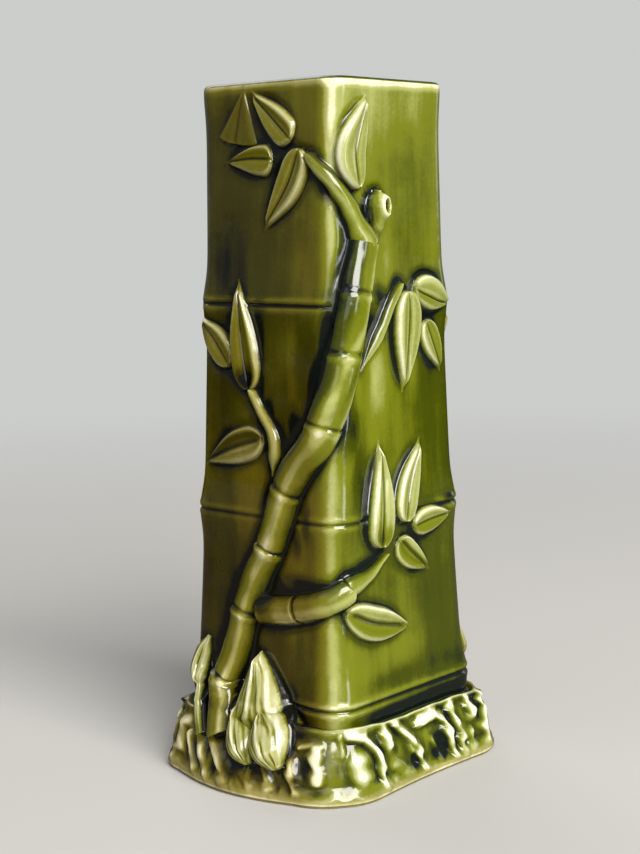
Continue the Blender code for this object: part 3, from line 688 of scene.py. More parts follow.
def makeStemParts():
    at, total = wallPath(stemPlaces)
    fineS = np.linspace(0.0, total, 1200)
    fineZ = at(fineS)[1] / height
    nodeS = [(np.interp(share, fineZ, fineS), strength) for share, strength in stemNodes]
    made = []

    def swellAt(s):
        swell = 0.0
        for spot, strength in nodeS:
            swell = swell + strength * stemLook["lip"] * bell(s - spot + 0.001, stemLook["lipReach"])
            swell = swell - strength * stemLook["cut"] * bell(s - spot - 0.0008, stemLook["cutReach"])
        return swell

    for node, (low, high) in stemParts.items():
        lowS, highS = np.interp((low, high), fineZ, fineS)
        around, z, _, _ = at(np.linspace(lowS, highS, 14))
        places = [(float(aroundToPlace(a, h)), float(h / height)) for a, h in zip(around, z)]

        def outline(s, total):
            width = np.interp(np.interp(s + lowS, fineS, fineZ), *stemWidths.T)
            waist = 0.00012 * np.cos((s + lowS) * 420.0)
            return width + swellAt(s + lowS) * 0.7 + waist

        def crown(s, q, t, total, width):
            arch = np.sqrt(clip01(1 - q ** 2)) ** 0.92
            keel = 0.00025 * bell(q - 0.42, 0.16) - 0.0003 * bell(q - 0.05, 0.25)
            start = 0.5 + 0.5 * smooth(0.0095, 0.0165, s + lowS + 0.01 * (lowS > 0.001))
            return stemLook["edge"] + (stemLook["rise"] + swellAt(s + lowS) + keel) * arch * start

        def depth(s, q, t, total, width):
            ring = 0.0
            for spot, strength in nodeS:
                away = s + lowS - spot
                ring = ring + min(1.0, 0.35 + 0.5 * strength) * bell(away - 0.0008, 0.0008)
                ring = ring - 0.3 * bell(away + 0.0016, 0.0014)
            share = np.interp(s + lowS, fineS, fineZ)
            heights, *columns = stemLightAndShade.T
            band, cream, rightCreamHighlight, darkLeft = (np.interp(share, heights, column) for column in columns)
            patchy = 0.8 + 0.2 * np.sin((s + lowS) * 330 + 2.2 * np.sin((s + lowS) * 95))
            # the left side of the stem is painted darker as painted shade; the cream bands are partly thin
            # glaze, partly painted highlight
            shade = darkLeft * smooth(-0.05, -0.9, q) - cream * patchy * bell(q - band, 0.27)
            shade = shade + 0.14 - rightCreamHighlight * bell(q - 0.85, 0.14)
            shade = shade + 0.5 * rightCreamHighlight * bell(q - band - 0.5, 0.18)
            shade = shade + 0.45 * smooth(0.58, 0.96, q) * clip01(1 - rightCreamHighlight / 0.4)
            return ring * 0.72 + shade

        made.append(raisedStrip(node, "culm_glaze", places, (outline, crown, depth), acrossRound(31, [0.998]),
                                stemLook["spacing"], cap=(stemLook["cap"],) * 2, lean=True))
    return made


# Twigs and branches: places, half widths at start and end, rise
twigs = {
    "top_twig": (((0.182, 0.7825), (0.13, 0.804), (0.078, 0.826), (0.031, 0.842), (-0.028, 0.862),
                  (-0.12, 0.886)), 0.0037, 0.0021, 1.3),
    "side_branch": (((-0.442, 0.254), (-0.284, 0.259), (-0.123, 0.27), (-0.012, 0.281), (0.06, 0.291)),
                    0.0052, 0.0044, 1.82),
    "side_twig": (((0.092, 0.299), (0.212, 0.309), (0.3, 0.324)), 0.0036, 0.0012, 1.1),
    "left_twig": (((-0.41, 0.46), (-0.396, 0.485), (-0.419, 0.509), (-0.495, 0.534), (-0.558, 0.557)),
                  0.0026, 0.0017, 0.9),
    "right_twig": (((0.224, 0.61), (0.341, 0.65), (0.416, 0.685), (0.482, 0.705)), 0.0024, 0.0018, 0.9),
}
twigLook = {
    "rise": 0.0022,
    "edge": 0.00064,
    "ringAt": 0.42,
    "flare": 0.0021,
    "flareReach": 0.007,
    "spacing": 0.0006,
}
# how far each end runs on, to meet the stem or the leaf beside it
twigRunOn = {
    "top_twig": (0.0035, 0.0035),
    "side_branch": (0.003, 0.0015),
    "side_twig": (0.0022, 0.004),
    "left_twig": (0.0035, 0.003),
    "right_twig": (0.0045, 0.003),
}
# how far from its start a twig grows to its full size
twigSlimStart = {"right_twig": 0.011, "left_twig": 0.005}


def makeTwig(node):
    places, first, last, amount = twigs[node]
    rise = twigLook["rise"] * amount
    cap = twigRunOn[node]
    thick = node == "side_branch"
    isTop = node == "top_twig"
    flare = twigLook["flare"] * isTop

    def slim(s):
        return 0.15 + 0.85 * smooth(-cap[0], twigSlimStart[node], s) if node in twigSlimStart else 1.0

    def ring(s, total):
        away = s - twigLook["ringAt"] * total
        return thick * (0.0002 * bell(away + 0.0011, 0.0009) - 0.0006 * bell(away, 0.0004))

    def outline(s, total):
        width = first + (last - first) * clip01(s / total)
        knobs = (0.03 if thick else 0.07) * width * np.sin(s * 520.0) * np.sin(s * 270.0 + 1.0)
        pastEnd = np.clip(s - total, 0, None) / (cap[1] + 0.0002)
        closing = np.sqrt(np.clip(1 - pastEnd ** 2, 0.02, 1))
        width = width + flare * bell(s + cap[0], twigLook["flareReach"])
        return np.maximum(0.0002, (width + knobs + ring(s, total)) * closing * slim(s))

    def crown(s, q, t, total, width):
        arch = np.sqrt(clip01(1 - q ** 2))
        tall = rise * (1 - 0.25 * clip01(s / total)) + flare * 1.1 * bell(s + cap[0], twigLook["flareReach"])
        return (twigLook["edge"] + (tall + ring(s, total)) * arch) * slim(s)

    def depth(s, q, t, total, width):
        away = s - twigLook["ringAt"] * total
        upper = q if isTop else -q
        shade = 0.55 * smooth(0.3, 0.95, upper) - 0.3 * bell(upper + 0.35, 0.35) + 0.14 * isTop
        shade = shade + thick * smooth(0.0085, 0.0, s) * (0.45 + 0.4 * smooth(-0.9, 0.4, upper))
        return shade + thick * (0.8 * bell(away, 0.0005) - 0.2 * bell(away + 0.0012, 0.0008))

    return raisedStrip(node, "culm_glaze" if thick else "twig_glaze", places, (outline, crown, depth),
                       acrossRound(19, [0.995]), twigLook["spacing"], cap=cap)


# The cut stub: a short stem that opens into an oval cut face with a hollow
stubLook = {
    "places": ((0.292, 0.785), (0.308, 0.802), (0.321, 0.822), (0.324, 0.843)),
    "shares": (0.0, 0.12, 0.32, 0.5, 0.68, 0.85, 0.95, 1.0),
    "widths": (0.002, 0.0026, 0.003, 0.004, 0.0046, 0.004, 0.0026, 0.0012),
    "rises": (0.0018, 0.0035, 0.0042, 0.0053, 0.0055, 0.0046, 0.0033, 0.002),
    "hollowAt": (0.68, 0.0007),
    "hollowSize": (0.0026, 0.0021, 0.0034),
    "edge": 0.0006,
    "cap": (0.003, 0.0006),
    "spacing": 0.00045,
}


def makeStub():
    def along(s, total, name):
        return np.interp(clip01(s / total), stubLook["shares"], stubLook[name])

    def outline(s, total):
        return along(s, total, "widths")

    def fromHollow(s, t, total):
        (share, across), (long, wide, _) = stubLook["hollowAt"], stubLook["hollowSize"]
        return np.hypot((s - share * total) / long, (t - across) / wide)

    def crown(s, q, t, total, width):
        ring = fromHollow(s, t, total)
        hollow = stubLook["hollowSize"][2] * (1 - smooth(0.45, 1.0, ring))
        lip = 0.0006 * bell(ring - 1.25, 0.28)
        return stubLook["edge"] + along(s, total, "rises") * np.sqrt(clip01(1 - q ** 2)) + lip - hollow

    def depth(s, q, t, total, width):
        ring = fromHollow(s, t, total)
        return 1 - smooth(0.55, 1.0, ring) - 0.45 * bell(ring - 1.3, 0.35) + 0.4 * smooth(0.5, 1.0, -q)

    return raisedStrip("cut_stub", "twig_glaze", stubLook["places"], (outline, crown, depth), acrossRound(27),
                       stubLook["spacing"], cap=stubLook["cap"])


# Bamboo shoots at the foot: places, half width, where it is widest, rise
shoots = {
    "shoot_tip": (((-0.394, 0.092), (-0.44, 0.13), (-0.488, 0.19)), 0.0096, 0.1, 1.0),
    "shoot_left_sheath": (((-0.366, 0.052), (-0.444, 0.082), (-0.542, 0.124)), 0.0055, 0.4, 1.0),
    "shoot_right_sheath": (((-0.205, 0.052), (-0.285, 0.086), (-0.372, 0.12)), 0.007, 0.52, 1.1),
    "small_shoot": (((-0.76, 0.069), (-0.829, 0.1), (-0.869, 0.13), (-0.901, 0.159), (-0.871, 0.196)),
                    0.0036, 0.7, 0.6),
}
shootLook = {"rise": 0.006, "edge": 0.0008, "spacing": 0.0005, "grooveDepth": 0.00055, "cap": 0.001}
# where the lengthwise furrows run across each shoot
shootRibs = {
    "shoot_tip": (-0.62, -0.38, -0.17, 0.14, 0.36, 0.66),
    "shoot_left_sheath": (-0.5, -0.12, 0.22, 0.58),
    "shoot_right_sheath": (-0.6, -0.3, 0.12, 0.46, 0.72),
    "small_shoot": (-0.3, 0.35),
}
smallShootWidths = (
    (0.0, 0.0014), (0.42, 0.0012), (0.49, 0.001), (0.54, 0.0022), (0.66, 0.0036), (0.84, 0.003),
    (1.0, 0.0007),
)


def makeShoot(node):
    places, size, widest, amount = shoots[node]
    cap = shootLook["cap"]
    isSmall = node == "small_shoot"

    def outline(s, total):
        share = clip01(s / total)
        if isSmall:
            return np.interp(share, *np.array(smallShootWidths).T)
        opening = 0.3 + 0.7 * np.sin(math.pi / 2 * clip01(share / widest)) ** 0.8
        closing = np.cos(math.pi / 2 * clip01((share - widest) / (1 - widest))) ** 0.85
        blunt = np.sqrt(clip01(1 - (np.clip(-s, 0, None) / (cap * 1.05)) ** 2))
        return np.maximum(0.0002, size * np.where(share < widest, opening, closing) * blunt)

    def furrows(q, share):
        cut = 0.0
        for number, middle in enumerate(shootRibs[node]):
            bend = 0.05 * np.sin(share * 4 + number * 2) + 0.03 * np.sin(share * 11 + number * 5)
            cut = cut + (0.62 + 0.38 * np.sin(share * 8 + number * 2.7)) * bell(q - middle - bend, 0.065)
        return cut

    def crown(s, q, t, total, width):
        share = clip01(s / total)
        rise = shootLook["rise"] * amount * (0.55 + 0.45 * np.sin(math.pi * (0.15 + 0.8 * share)))
        rise = rise * (0.55 + 0.45 * smooth(-0.001, 0.006, s))
        if isSmall:
            rise = rise * (0.55 + 0.45 * smooth(0.46, 0.6, share))
        arch = clip01(1 - np.abs(q) ** 2.2) ** 0.6
        keel = 0.0007 * bell(q, 0.2) * smooth(0.15, 0.5, share)
        grooves = shootLook["grooveDepth"] * furrows(q, share) * smooth(0.001, 0.0036, width) * (1 - q ** 4)
        return shootLook["edge"] + (rise * arch + keel - grooves) * smooth(0.0, 0.0024, width)

    def depth(s, q, t, total, width):
        share = clip01(s / total)
        line = 0.6 * furrows(q, share) + 0.1 * np.sin(q * 27 + 3 * np.sin(share * 5))
        line = line * smooth(0.001, 0.003, width) + 0.2 * isSmall - 0.3 * bell(q, 0.12)
        return line - 0.25 * bell(np.abs(q) - 0.8, 0.12) + 0.3 * (1 - smooth(0.0, 0.25, share))

    return raisedStrip(node, "shoot_glaze", places, (outline, crown, depth), np.linspace(-0.995, 0.995, 51),
                       shootLook["spacing"], cap=(cap, 0.0), lean=True)


strips = makeStemParts()
strips += [makeTwig(node) for node in twigs]
strips.append(makeStub())
strips += [makeLeaf(node) for node in leaves]
strips += [makeShoot(node) for node in shoots]
backLeftOut = ("leaf_top_back", "leaf_low_fourth", "leaf_right_drop")
print("relief shaped,", len(strips), "strips")


# Maps of the relief over the unrolled wall, four faces by height; cells in mm
mapSizes = {"columns": 1440, "rows": 1016, "cellUp": 0.25, "cellRound": 0.2}


def mapColumn(place):
    return ((place + 1) % 4) / 4 * mapSizes["columns"]


def readGrid(values, row, column, closed=False):
    rows, columns = values.shape
    r0 = np.minimum(np.floor(row).astype(int), rows - 2)
    c0 = np.floor(column).astype(int)
    if not closed:
        c0 = np.minimum(c0, columns - 2)
    fr, fc = row - r0, column - c0
    c0, c1 = c0 % columns, (c0 + 1) % columns
    low = values[r0, c0] * (1 - fc) + values[r0, c1] * fc
    high = values[r0 + 1, c0] * (1 - fc) + values[r0 + 1, c1] * fc
    return low * (1 - fr) + high * fr


def sampleMap(values, place, z):
    row = np.clip(z / height * mapSizes["rows"], 0, mapSizes["rows"] - 1.001)
    return readGrid(values, row, mapColumn(place), closed=True)


def finer(values, times=4):
    rows, columns = values.shape
    row = np.linspace(0, rows - 1, (rows - 1) * times + 1)[:, None]
    column = np.linspace(0, columns - 1, (columns - 1) * times + 1)[None, :]
    return readGrid(values, row, column)


def blur(values, reach, shift=0.0):
    rows, columns = values.shape
    padded = np.vstack([values, values[::-1]])
    fy = np.fft.fftfreq(rows * 2)[:, None] / mapSizes["cellUp"]
    fx = np.fft.rfftfreq(columns)[None, :] / mapSizes["cellRound"]
    keep = np.exp(-2 * (math.pi * reach) ** 2 * (fx ** 2 + fy ** 2))
    turned = np.fft.rfft2(padded) * keep * np.exp(-2j * math.pi * fx * shift)
    return np.fft.irfft2(turned, s=padded.shape)[:rows]


def reliefMap():
    rows, columns = mapSizes["rows"], mapSizes["columns"]
    relief = np.zeros((rows, columns))
    for strip in strips:
        lean = np.where(strip["isTop"], strip["ground"] - strip["wall"], 0.0)
        tall = np.clip(finer(strip["lift"] + lean) * 1000, 0, None)
        z = finer(strip["z"])
        place = aroundToPlace(finer(strip["a"]), z)
        row = np.clip(np.round(z / height * rows).astype(int), 0, rows - 1)
        for turn in (0, 2) if strip["node"] not in backLeftOut else (0,):
            column = np.round(mapColumn(place + turn)).astype(int) % columns
            np.maximum.at(relief, (row.ravel(), column.ravel()), tall.ravel())
    covered = (relief > 0) * 1.0
    cover = blur(covered, 0.35)
    filled = blur(relief, 0.35) / np.maximum(cover, 0.2)
    return np.where((covered == 0) & (cover > 0.5), filled, relief)


relief = reliefMap()
# for each cell: height, share of the height, place, and place within its pair of faces
rowZ = (np.arange(mapSizes["rows"]) / mapSizes["rows"] * height)[:, None]
up = rowZ / height
columnPlace = (np.arange(mapSizes["columns"]) / mapSizes["columns"] * 4 - 1)[None, :]
across = wrap(columnPlace)

# node rings cut in the wall; some are fainter along a part of their way
ringLook = {
    "cut": 0.0006,
    "cutReach": 0.00065,
    "lip": 0.00036,
    "lipAway": 0.0017,
    "lipReach": 0.001,
}


def ringStrength(number, place):
    if number == 2:
        return (1 - smooth(-0.12, 0.0, place)) * smooth(-1.0, -0.96, place) + 0.15
    if number == 1:
        return 0.65 + 0.35 * bell(place - 0.9, 0.35)
    return 1.0 + 0.0 * place


def ringMap():
    total = 0.0
    for number, ring in enumerate(ringHeights):
        away = rowZ - ring
        shape = -ringLook["cut"] * bell(away, ringLook["cutReach"])
        shape = shape + ringLook["lip"] * bell(away - ringLook["lipAway"], ringLook["lipReach"])
        shape = shape + ringLook["lip"] * 0.8 * bell(away + ringLook["lipAway"], ringLook["lipReach"])
        total = total + shape * ringStrength(number, across)
    return total


wallLook = {"unevenness": 0.00006, "trough": 0.0007}
# the broad blur is shifted 1.5 mm to the left, so the dark beside the relief lies more on its left side, away
# from the light: painted shadow as well as pooled glaze; the trough follows the same shift
broad = blur(relief, 3.0, -1.5)
narrow = blur(relief, 1.0)
rings = ringMap()
waves = np.sin(rowZ * 61 + 2 * np.sin(columnPlace * 3.1)) + np.sin(columnPlace * 7 + rowZ * 37)
trough = -wallLook["trough"] * smooth(0.15, 1.5, broad) * (1 - smooth(0.2, 1.2, relief))
wallShift = rings + waves * wallLook["unevenness"] + blur(trough, 0.5)

# darker spots, partly deeper glaze and partly painted shade: place, height share, reach round and up in mm,
# strength
darkSpots = (
    (-0.395, 0.291, 4.5, 4.0, 0.9), (-0.215, 0.3, 7.0, 2.6, 0.8), (0.195, 0.319, 4.5, 3.0, 1.0),
    (0.09, 0.31, 4.0, 3.0, 0.9), (-0.04, 0.643, 2.4, 8.0, 0.9), (-0.126, 0.58, 3.0, 8.0, 1.0),
    (-0.265, 0.522, 3.4, 6.0, 1.0), (-0.391, 0.467, 3.4, 6.0, 1.0), (-0.442, 0.412, 3.0, 5.0, 0.8),
    (0.253, 0.813, 2.4, 4.0, 0.9), (0.775, 0.722, 7.0, 2.4, 1.0), (-0.522, 0.632, 2.8, 12.0, 0.9),
    (-0.512, 0.572, 2.6, 6.5, 0.85), (-0.447, 0.54, 2.8, 6.0, 0.85), (-0.385, 0.506, 3.4, 5.0, 0.85),
    (-0.145, 0.88, 5.0, 2.4, 0.8), (-0.02, 0.848, 4.0, 2.4, 0.7), (0.25, 0.665, 4.2, 7.0, 1.0),
    (0.33, 0.702, 3.6, 4.0, 0.9), (0.185, 0.618, 2.6, 8.0, 0.85),
    (-0.444, 0.907, 2.6, 1.8, 0.9), (-0.654, 0.898, 5.0, 1.6, 0.8), (0.075, 0.837, 3.0, 3.0, 0.8),
    (0.381, 0.686, 2.6, 4.0, 0.7), (0.498, 0.716, 4.0, 3.0, 0.9), (0.242, 0.414, 1.6, 8.0, 0.7),
    (-0.174, 0.391, 2.2, 7.0, 0.7), (-0.24, 0.354, 2.4, 5.0, 0.7), (-0.29, 0.125, 4.0, 7.0, 1.0),
    (0.7, 0.108, 18.0, 2.2, 0.45), (0.331, 0.11, 9.0, 1.8, 0.25), (-0.499, 0.502, 2.4, 3.0, 0.6),
    (0.4, 0.149, 15.0, 3.4, 0.4), (0.8, 0.152, 12.0, 4.5, 0.26), (0.175, 0.455, 4.0, 17.0, 0.58),
    (0.108, 0.515, 4.6, 9.0, 0.85), (0.215, 0.6, 2.6, 9.0, 0.35), (-0.17, 0.61, 4.5, 16.0, 0.5),
    (-0.35, 0.5, 4.5, 9.0, 0.5), (-0.56, 0.64, 1.4, 8.0, 0.3), (-0.78, 0.765, 8.0, 15.0, 0.16),
    (0.88, 0.395, 4.0, 1.6, 0.7), (0.6, 0.3, 5.0, 1.6, 0.4),
)
# the same for broad areas painted lighter, partly thinner glaze and partly painted light
thinAndLitSpots = (
    (0.35, 0.575, 5.0, 13.0, 0.4), (0.64, 0.605, 4.5, 13.0, 0.34), (0.1, 0.93, 7.0, 9.0, 0.2),
    (0.45, 0.19, 14.0, 5.0, 0.2), (0.03, 0.43, 3.0, 11.0, 0.22), (-0.2, 0.74, 5.0, 12.0, 0.12),
    (0.52, 0.82, 12.0, 24.0, 0.12), (0.7, 0.96, 14.0, 9.0, 0.1), (0.4, 0.76, 6.0, 20.0, 0.26),
)
# mm for one step of place round the wall and round the plinth, as the spots are measured
faceMm = 70.0
plinthMm = 80.0


def spotMap(spots):
    total = np.zeros_like(relief)
    for place, share, reachA, reachZ, strength in spots:
        spot = bell(wrap(columnPlace - place) * faceMm, reachA) * bell((rowZ - share * height) * 1000, reachZ)
        total = np.maximum(total, strength * spot)
    return total


# where the glaze is darker or lighter than the relief alone gives, face by face: mostly painted shade on the
# face turned from the light and on the far right, and painted light on some lit patches, partly the glaze's
# own variation
upperPart = smooth(0.66, 0.74, up)
lowerPart = smooth(0.46, 0.26, up)
stemAt = np.interp(up, [h for _, h in stemPlaces], [p for p, _ in stemPlaces])
leftOfStem = smooth(0.02, -0.05, across - stemAt) * smooth(0.0, -0.08, across)
rightOfStem = smooth(-0.06, -0.15, across) * (1 - leftOfStem)
paintedFaceShade = (
    0.3 * smooth(0.3, 0.85, across) * (1 - 0.5 * upperPart) - spotMap(thinAndLitSpots)
    + 0.2 * smooth(-0.12, -0.36, across) * upperPart * smooth(0.985, 0.93, up)
    + 0.13 * bell(across + 0.58, 0.13) * smooth(0.62, 0.7, up)
    + 0.22 * bell(across + 0.45, 0.22) * bell(up - 0.69, 0.055)
    - 0.18 * bell(across - 0.16, 0.12) * smooth(0.5, 0.66, up)
    + 0.22 * bell(across + 0.78, 0.14) + 0.1 * bell(across + 0.4, 0.1)
    - 0.25 * smooth(0.86, 0.98, up) * smooth(-0.05, 0.05, across)
    + 0.15 * bell(up - 0.57, 0.11) * leftOfStem
    + 0.36 * lowerPart * leftOfStem
    + 0.12 * lowerPart * smooth(0.1, 0.25, across)
    + (0.1 * smooth(0.42, 0.36, up) + 0.18 * smooth(0.275, 0.225, up)) * rightOfStem
    # darker between the lowest ring and the ledge of the plinth: partly pooled glaze, partly painted shade
    + 0.48 * smooth(0.0345, 0.0272, rowZ) * smooth(0.02, 0.6, across)
    + 0.55 * smooth(0.0305, 0.027, rowZ) * smooth(0.01, 0.1, across)
)
# how strongly glaze pools in hollows and thins on ridges, wide and fine ones, and where else it does; these
# maps also carry painted shade (the face shade, the dark spots, the left side of the relief) and painted
# highlights (the near corner and the rim)
poolLook = {"wide": 0.74, "fine": 0.32, "ring": 0.62, "spots": 0.85, "least": -0.3, "most": 1.1}
ridgeLook = {"wide": 0.15, "fine": 0.35, "corner": 0.42, "ring": 0.35}
onWall = 1 - smooth(0.3, 1.0, relief)
spots = spotMap(darkSpots)
# wide darkening beside the relief, from the left-shifted blur: pooled glaze and painted shadow
poolWide = clip01((broad - relief - 0.12) / 1.1)
poolFine = clip01((narrow - relief) / 0.4)
ringPool = clip01(-rings * 1000 / 0.55)
poolOnWall = (poolLook["ring"] * ringPool + poolLook["spots"] * spots + paintedFaceShade) * onWall
poolAndShadeMap = poolLook["wide"] * poolWide + poolLook["fine"] * poolFine + poolOnWall
poolAndShadeMap = np.clip(poolAndShadeMap, poolLook["least"], poolLook["most"])
# lighter corners: thin glaze on the rounded corners, and towards the top of the near corner a painted
# highlight strip as well
nearCorner = bell((across + 0.018) * faceMm, 2.8) * (1.0 + 0.9 * smooth(0.72, 0.86, up))
cornerThinAndHighlight = (bell((1 - np.abs(across)) * faceMm, 3.0) + nearCorner) * onWall
poolAndShadeMap = poolAndShadeMap * (1 - 0.6 * clip01(cornerThinAndHighlight) * smooth(0.855, 0.885, up))
# lighter rim: thin glaze at the lip, with a painted highlight that is brighter on the right face
rimThinAndHighlight = smooth(height - 0.005, height - 0.0006, rowZ) * (0.72 + 0.2 * smooth(-0.15, 0.05, across))
# lighter where the glaze thins on ridges and rings, with the painted highlights of the corners and the rim
# added
ridgeWide = clip01((relief - broad - 0.2) / 2.2)
ridgeFine = clip01((relief - narrow) / 0.42)
ringRidge = clip01(rings * 1000 / 0.35) * onWall
ridgeAndHighlightMap = ridgeLook["wide"] * ridgeWide + ridgeLook["fine"] * ridgeFine + ridgeLook["corner"] * cornerThinAndHighlight
ridgeAndHighlightMap = clip01(ridgeAndHighlightMap + rimThinAndHighlight + ridgeLook["ring"] * ringRidge)
ridgeAndHighlightMap = ridgeAndHighlightMap * (1 - 0.9 * spots * onWall)
# brown tint on the front face, stronger towards the foot: partly the glaze's own, partly a painted reflection
# of the brown table and painted shade
amberAndReflectionMap = clip01((1 - smooth(-0.16, 0.04, across)) + smooth(0.985, 1.0, across))
amberAndReflectionMap = amberAndReflectionMap * (0.7 + 0.3 * smooth(0.18, 0.1, rowZ))
print("glaze depth mapped")


sunkDepth = 0.0018    # how far the underside of a strip lies in the wall


# Makes a mesh of a grid of points, closed round the vessel or closed under a strip
def flatMesh(name, around, z, out, flags, closed):
    rows, columns = around.shape
    points = np.stack([around, z, out], -1).reshape(-1, 3)
    index = np.arange(rows * columns).reshape(rows, columns)
    if closed:
        index = np.hstack([index, index[:, :1]])
    quads = np.stack([index[:-1, :-1], index[:-1, 1:], index[1:, 1:], index[1:, :-1]], -1)
    faces = quads.reshape(-1, 4).tolist()
    flat = np.zeros(quads.shape[:2], bool)
    if closed:
        caps = (index[0, :-1][::-1], index[-1, :-1])
    else:
        flat[[0, -1], :] = True
        flat[:, [0, -1]] = True
        # underside: three runs of points below the strip, joined to its edges
        under = np.minimum(out, flags["ground"]) - sunkDepth
        under = np.stack([around, z, under], -1)[:, [0, columns // 2, columns - 1]]
        left, middle, right = len(points) + np.arange(3 * rows).reshape(3, rows)
        points = np.vstack([points, under.transpose(1, 0, 2).reshape(-1, 3)])
        pairs = ((left, middle), (middle, right), (index[:, 0], left), (right, index[:, -1]))
        sides = np.stack([np.stack([u[:-1], u[1:], v[1:], v[:-1]], -1) for u, v in pairs], 1)
        faces += sides.reshape(-1, 4).tolist()
        caps = (
            (left[0], middle[0], right[0], *index[0][::-1]),
            (right[-1], middle[-1], left[-1], *index[-1]),
        )
    faces += [[int(corner) for corner in cap] for cap in caps]
    isFlat = flat.ravel().tolist()
    isFlat += [True] * (len(faces) - len(isFlat))
    mesh = bpy.data.meshes.new(name)
    mesh.from_pydata(points.tolist(), [], faces)
    mesh.polygons.foreach_set("use_smooth", [not value for value in isFlat])
    if not closed:
        ends = np.zeros(len(mesh.edges) * 2, int)
        mesh.edges.foreach_get("vertices", ends)
        ends = ends.reshape(-1, 2)
        row, column = ends // columns, ends % columns
        onGrid = (ends < rows * columns).all(1)
        sameRow = (row[:, 0] == row[:, 1]) & np.isin(row[:, 0], (1, rows - 2))
        sameColumn = (column[:, 0] == column[:, 1]) & np.isin(column[:, 0], (1, columns - 2))
        mesh.edges.foreach_set("use_edge_sharp", onGrid & (sameRow | sameColumn))
    for label in ("poolAndShade", "ridge", "amber", "clay", "skirt"):
        values = np.full(len(points), 1.0 if label == "poolAndShade" else 0.0, np.float32)
        if label in flags:
            values[:around.size] = np.asarray(flags[label], np.float32).ravel()
        mesh.attributes.new(label, "FLOAT", "POINT").data.foreach_set("value", values)
    mesh.update()
    return mesh


def layOnWall(piece, material):
    layer = piece.modifiers.new("Lay on wall", "NODES")
    layer.node_group = wallTree
    for item in wallTree.interface.items_tree:
        if item.in_out == "INPUT" and item.name in wallSizes:
            layer[item.identifier] = wallSizes[item.name]
        if item.in_out == "INPUT" and item.name == "Glaze":
            layer[item.identifier] = material
    graph = bpy.context.evaluated_depsgraph_get()
    made = bpy.data.meshes.new_from_object(piece.evaluated_get(graph))
    piece.modifiers.remove(layer)
    piece.data = made
    return made


def signedVolume(mesh):
    mesh.calc_loop_triangles()
    points = np.zeros(len(mesh.vertices) * 3)
    mesh.vertices.foreach_get("co", points)
    points = points.reshape(-1, 3)
    corners = np.zeros(len(mesh.loop_triangles) * 3, int)
    mesh.loop_triangles.foreach_get("vertices", corners)
    a, b, c = (points[corners.reshape(-1, 3)[:, k]] for k in range(3))
    return float(np.einsum("ij,ij->i", a, np.cross(b, c)).sum() / 6)


def addPiece(node, slotName, mesh, halfTurn=False):
    name = ("back_" if halfTurn else "") + node
    piece = bpy.data.objects.new(name + "_glazed", mesh)
    bpy.context.scene.collection.objects.link(piece)
    made = layOnWall(piece, glazes[slotName])
    made.name = name + "_glazed"
    if halfTurn:
        made.transform(Matrix.Rotation(math.pi, 4, "Z"))
    if signedVolume(made) < 0:
        made.flip_normals()
    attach(piece, "root")
    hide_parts(name)


def addStrip(strip, halfTurn):
    z, onTop = strip["z"], strip["isTop"]
    spot = aroundToPlace(strip["a"], z) + (2 if halfTurn else 0)
    onLedge = smooth(plinthSizes["top"] + 0.0005, plinthSizes["top"] + 0.006, z)
    shift = sampleMap(wallShift, spot, z) * onLedge * np.where(onTop, 0.0, 1.0)
    amber = sampleMap(amberAndReflectionMap, spot, z)
    brown = brownShare.get(strip["node"], brownShare[strip["slot"]])
    # leaves on the brown-tinted front face are painted darker: painted shade on the face turned from the
    # light
    deep = strip["deep"] + 0.2 * (strip["slot"] == "leaf_glaze") * amber * onTop
    flags = {
        "poolAndShade": sampleMap(poolAndShadeMap, spot, z) * (1 - 0.75 * onTop) + np.clip(deep, 0, 2),
        "ridge": sampleMap(ridgeAndHighlightMap, spot, z) * (1 - 0.5 * onTop) - np.clip(deep, -2, 0),
        "amber": clip01(amber * (brown + (1 - brown) * strip["skirt"])),
        "skirt": strip["skirt"],
        "ground": strip["wall"],
    }
    out = strip["ground"] + strip["lift"] + shift
    mesh = flatMesh(strip["node"] + "_flat", strip["a"], z, out, flags, closed=False)
    addPiece(strip["node"], strip["slot"], mesh, halfTurn)


for strip in strips:
    addStrip(strip, False)
    if strip["node"] not in backLeftOut:
        addStrip(strip, True)
print("relief laid on the wall")


# Body: wall, rounded lip, inside and floor
bodyLook = {
    "columns": 328,
    "rowStep": 0.00108,
    "ringStep": 0.00036,
    "ringReach": 0.0024,
    "closest": 0.0003,
    "wall": 0.0045,
    "lip": 0.0018,
    "lipSteps": 9,
    "insideBelow": 0.0022,
    "insideUntil": 0.018,
    "insideStep": 0.01,
    "bottom": 0.0043,
    "floorCurve": ((0.0155, 0.0), (0.0135, 0.0004), (0.0118, 0.0014), (0.0107, 0.003), (0.0103, 0.0052)),
}


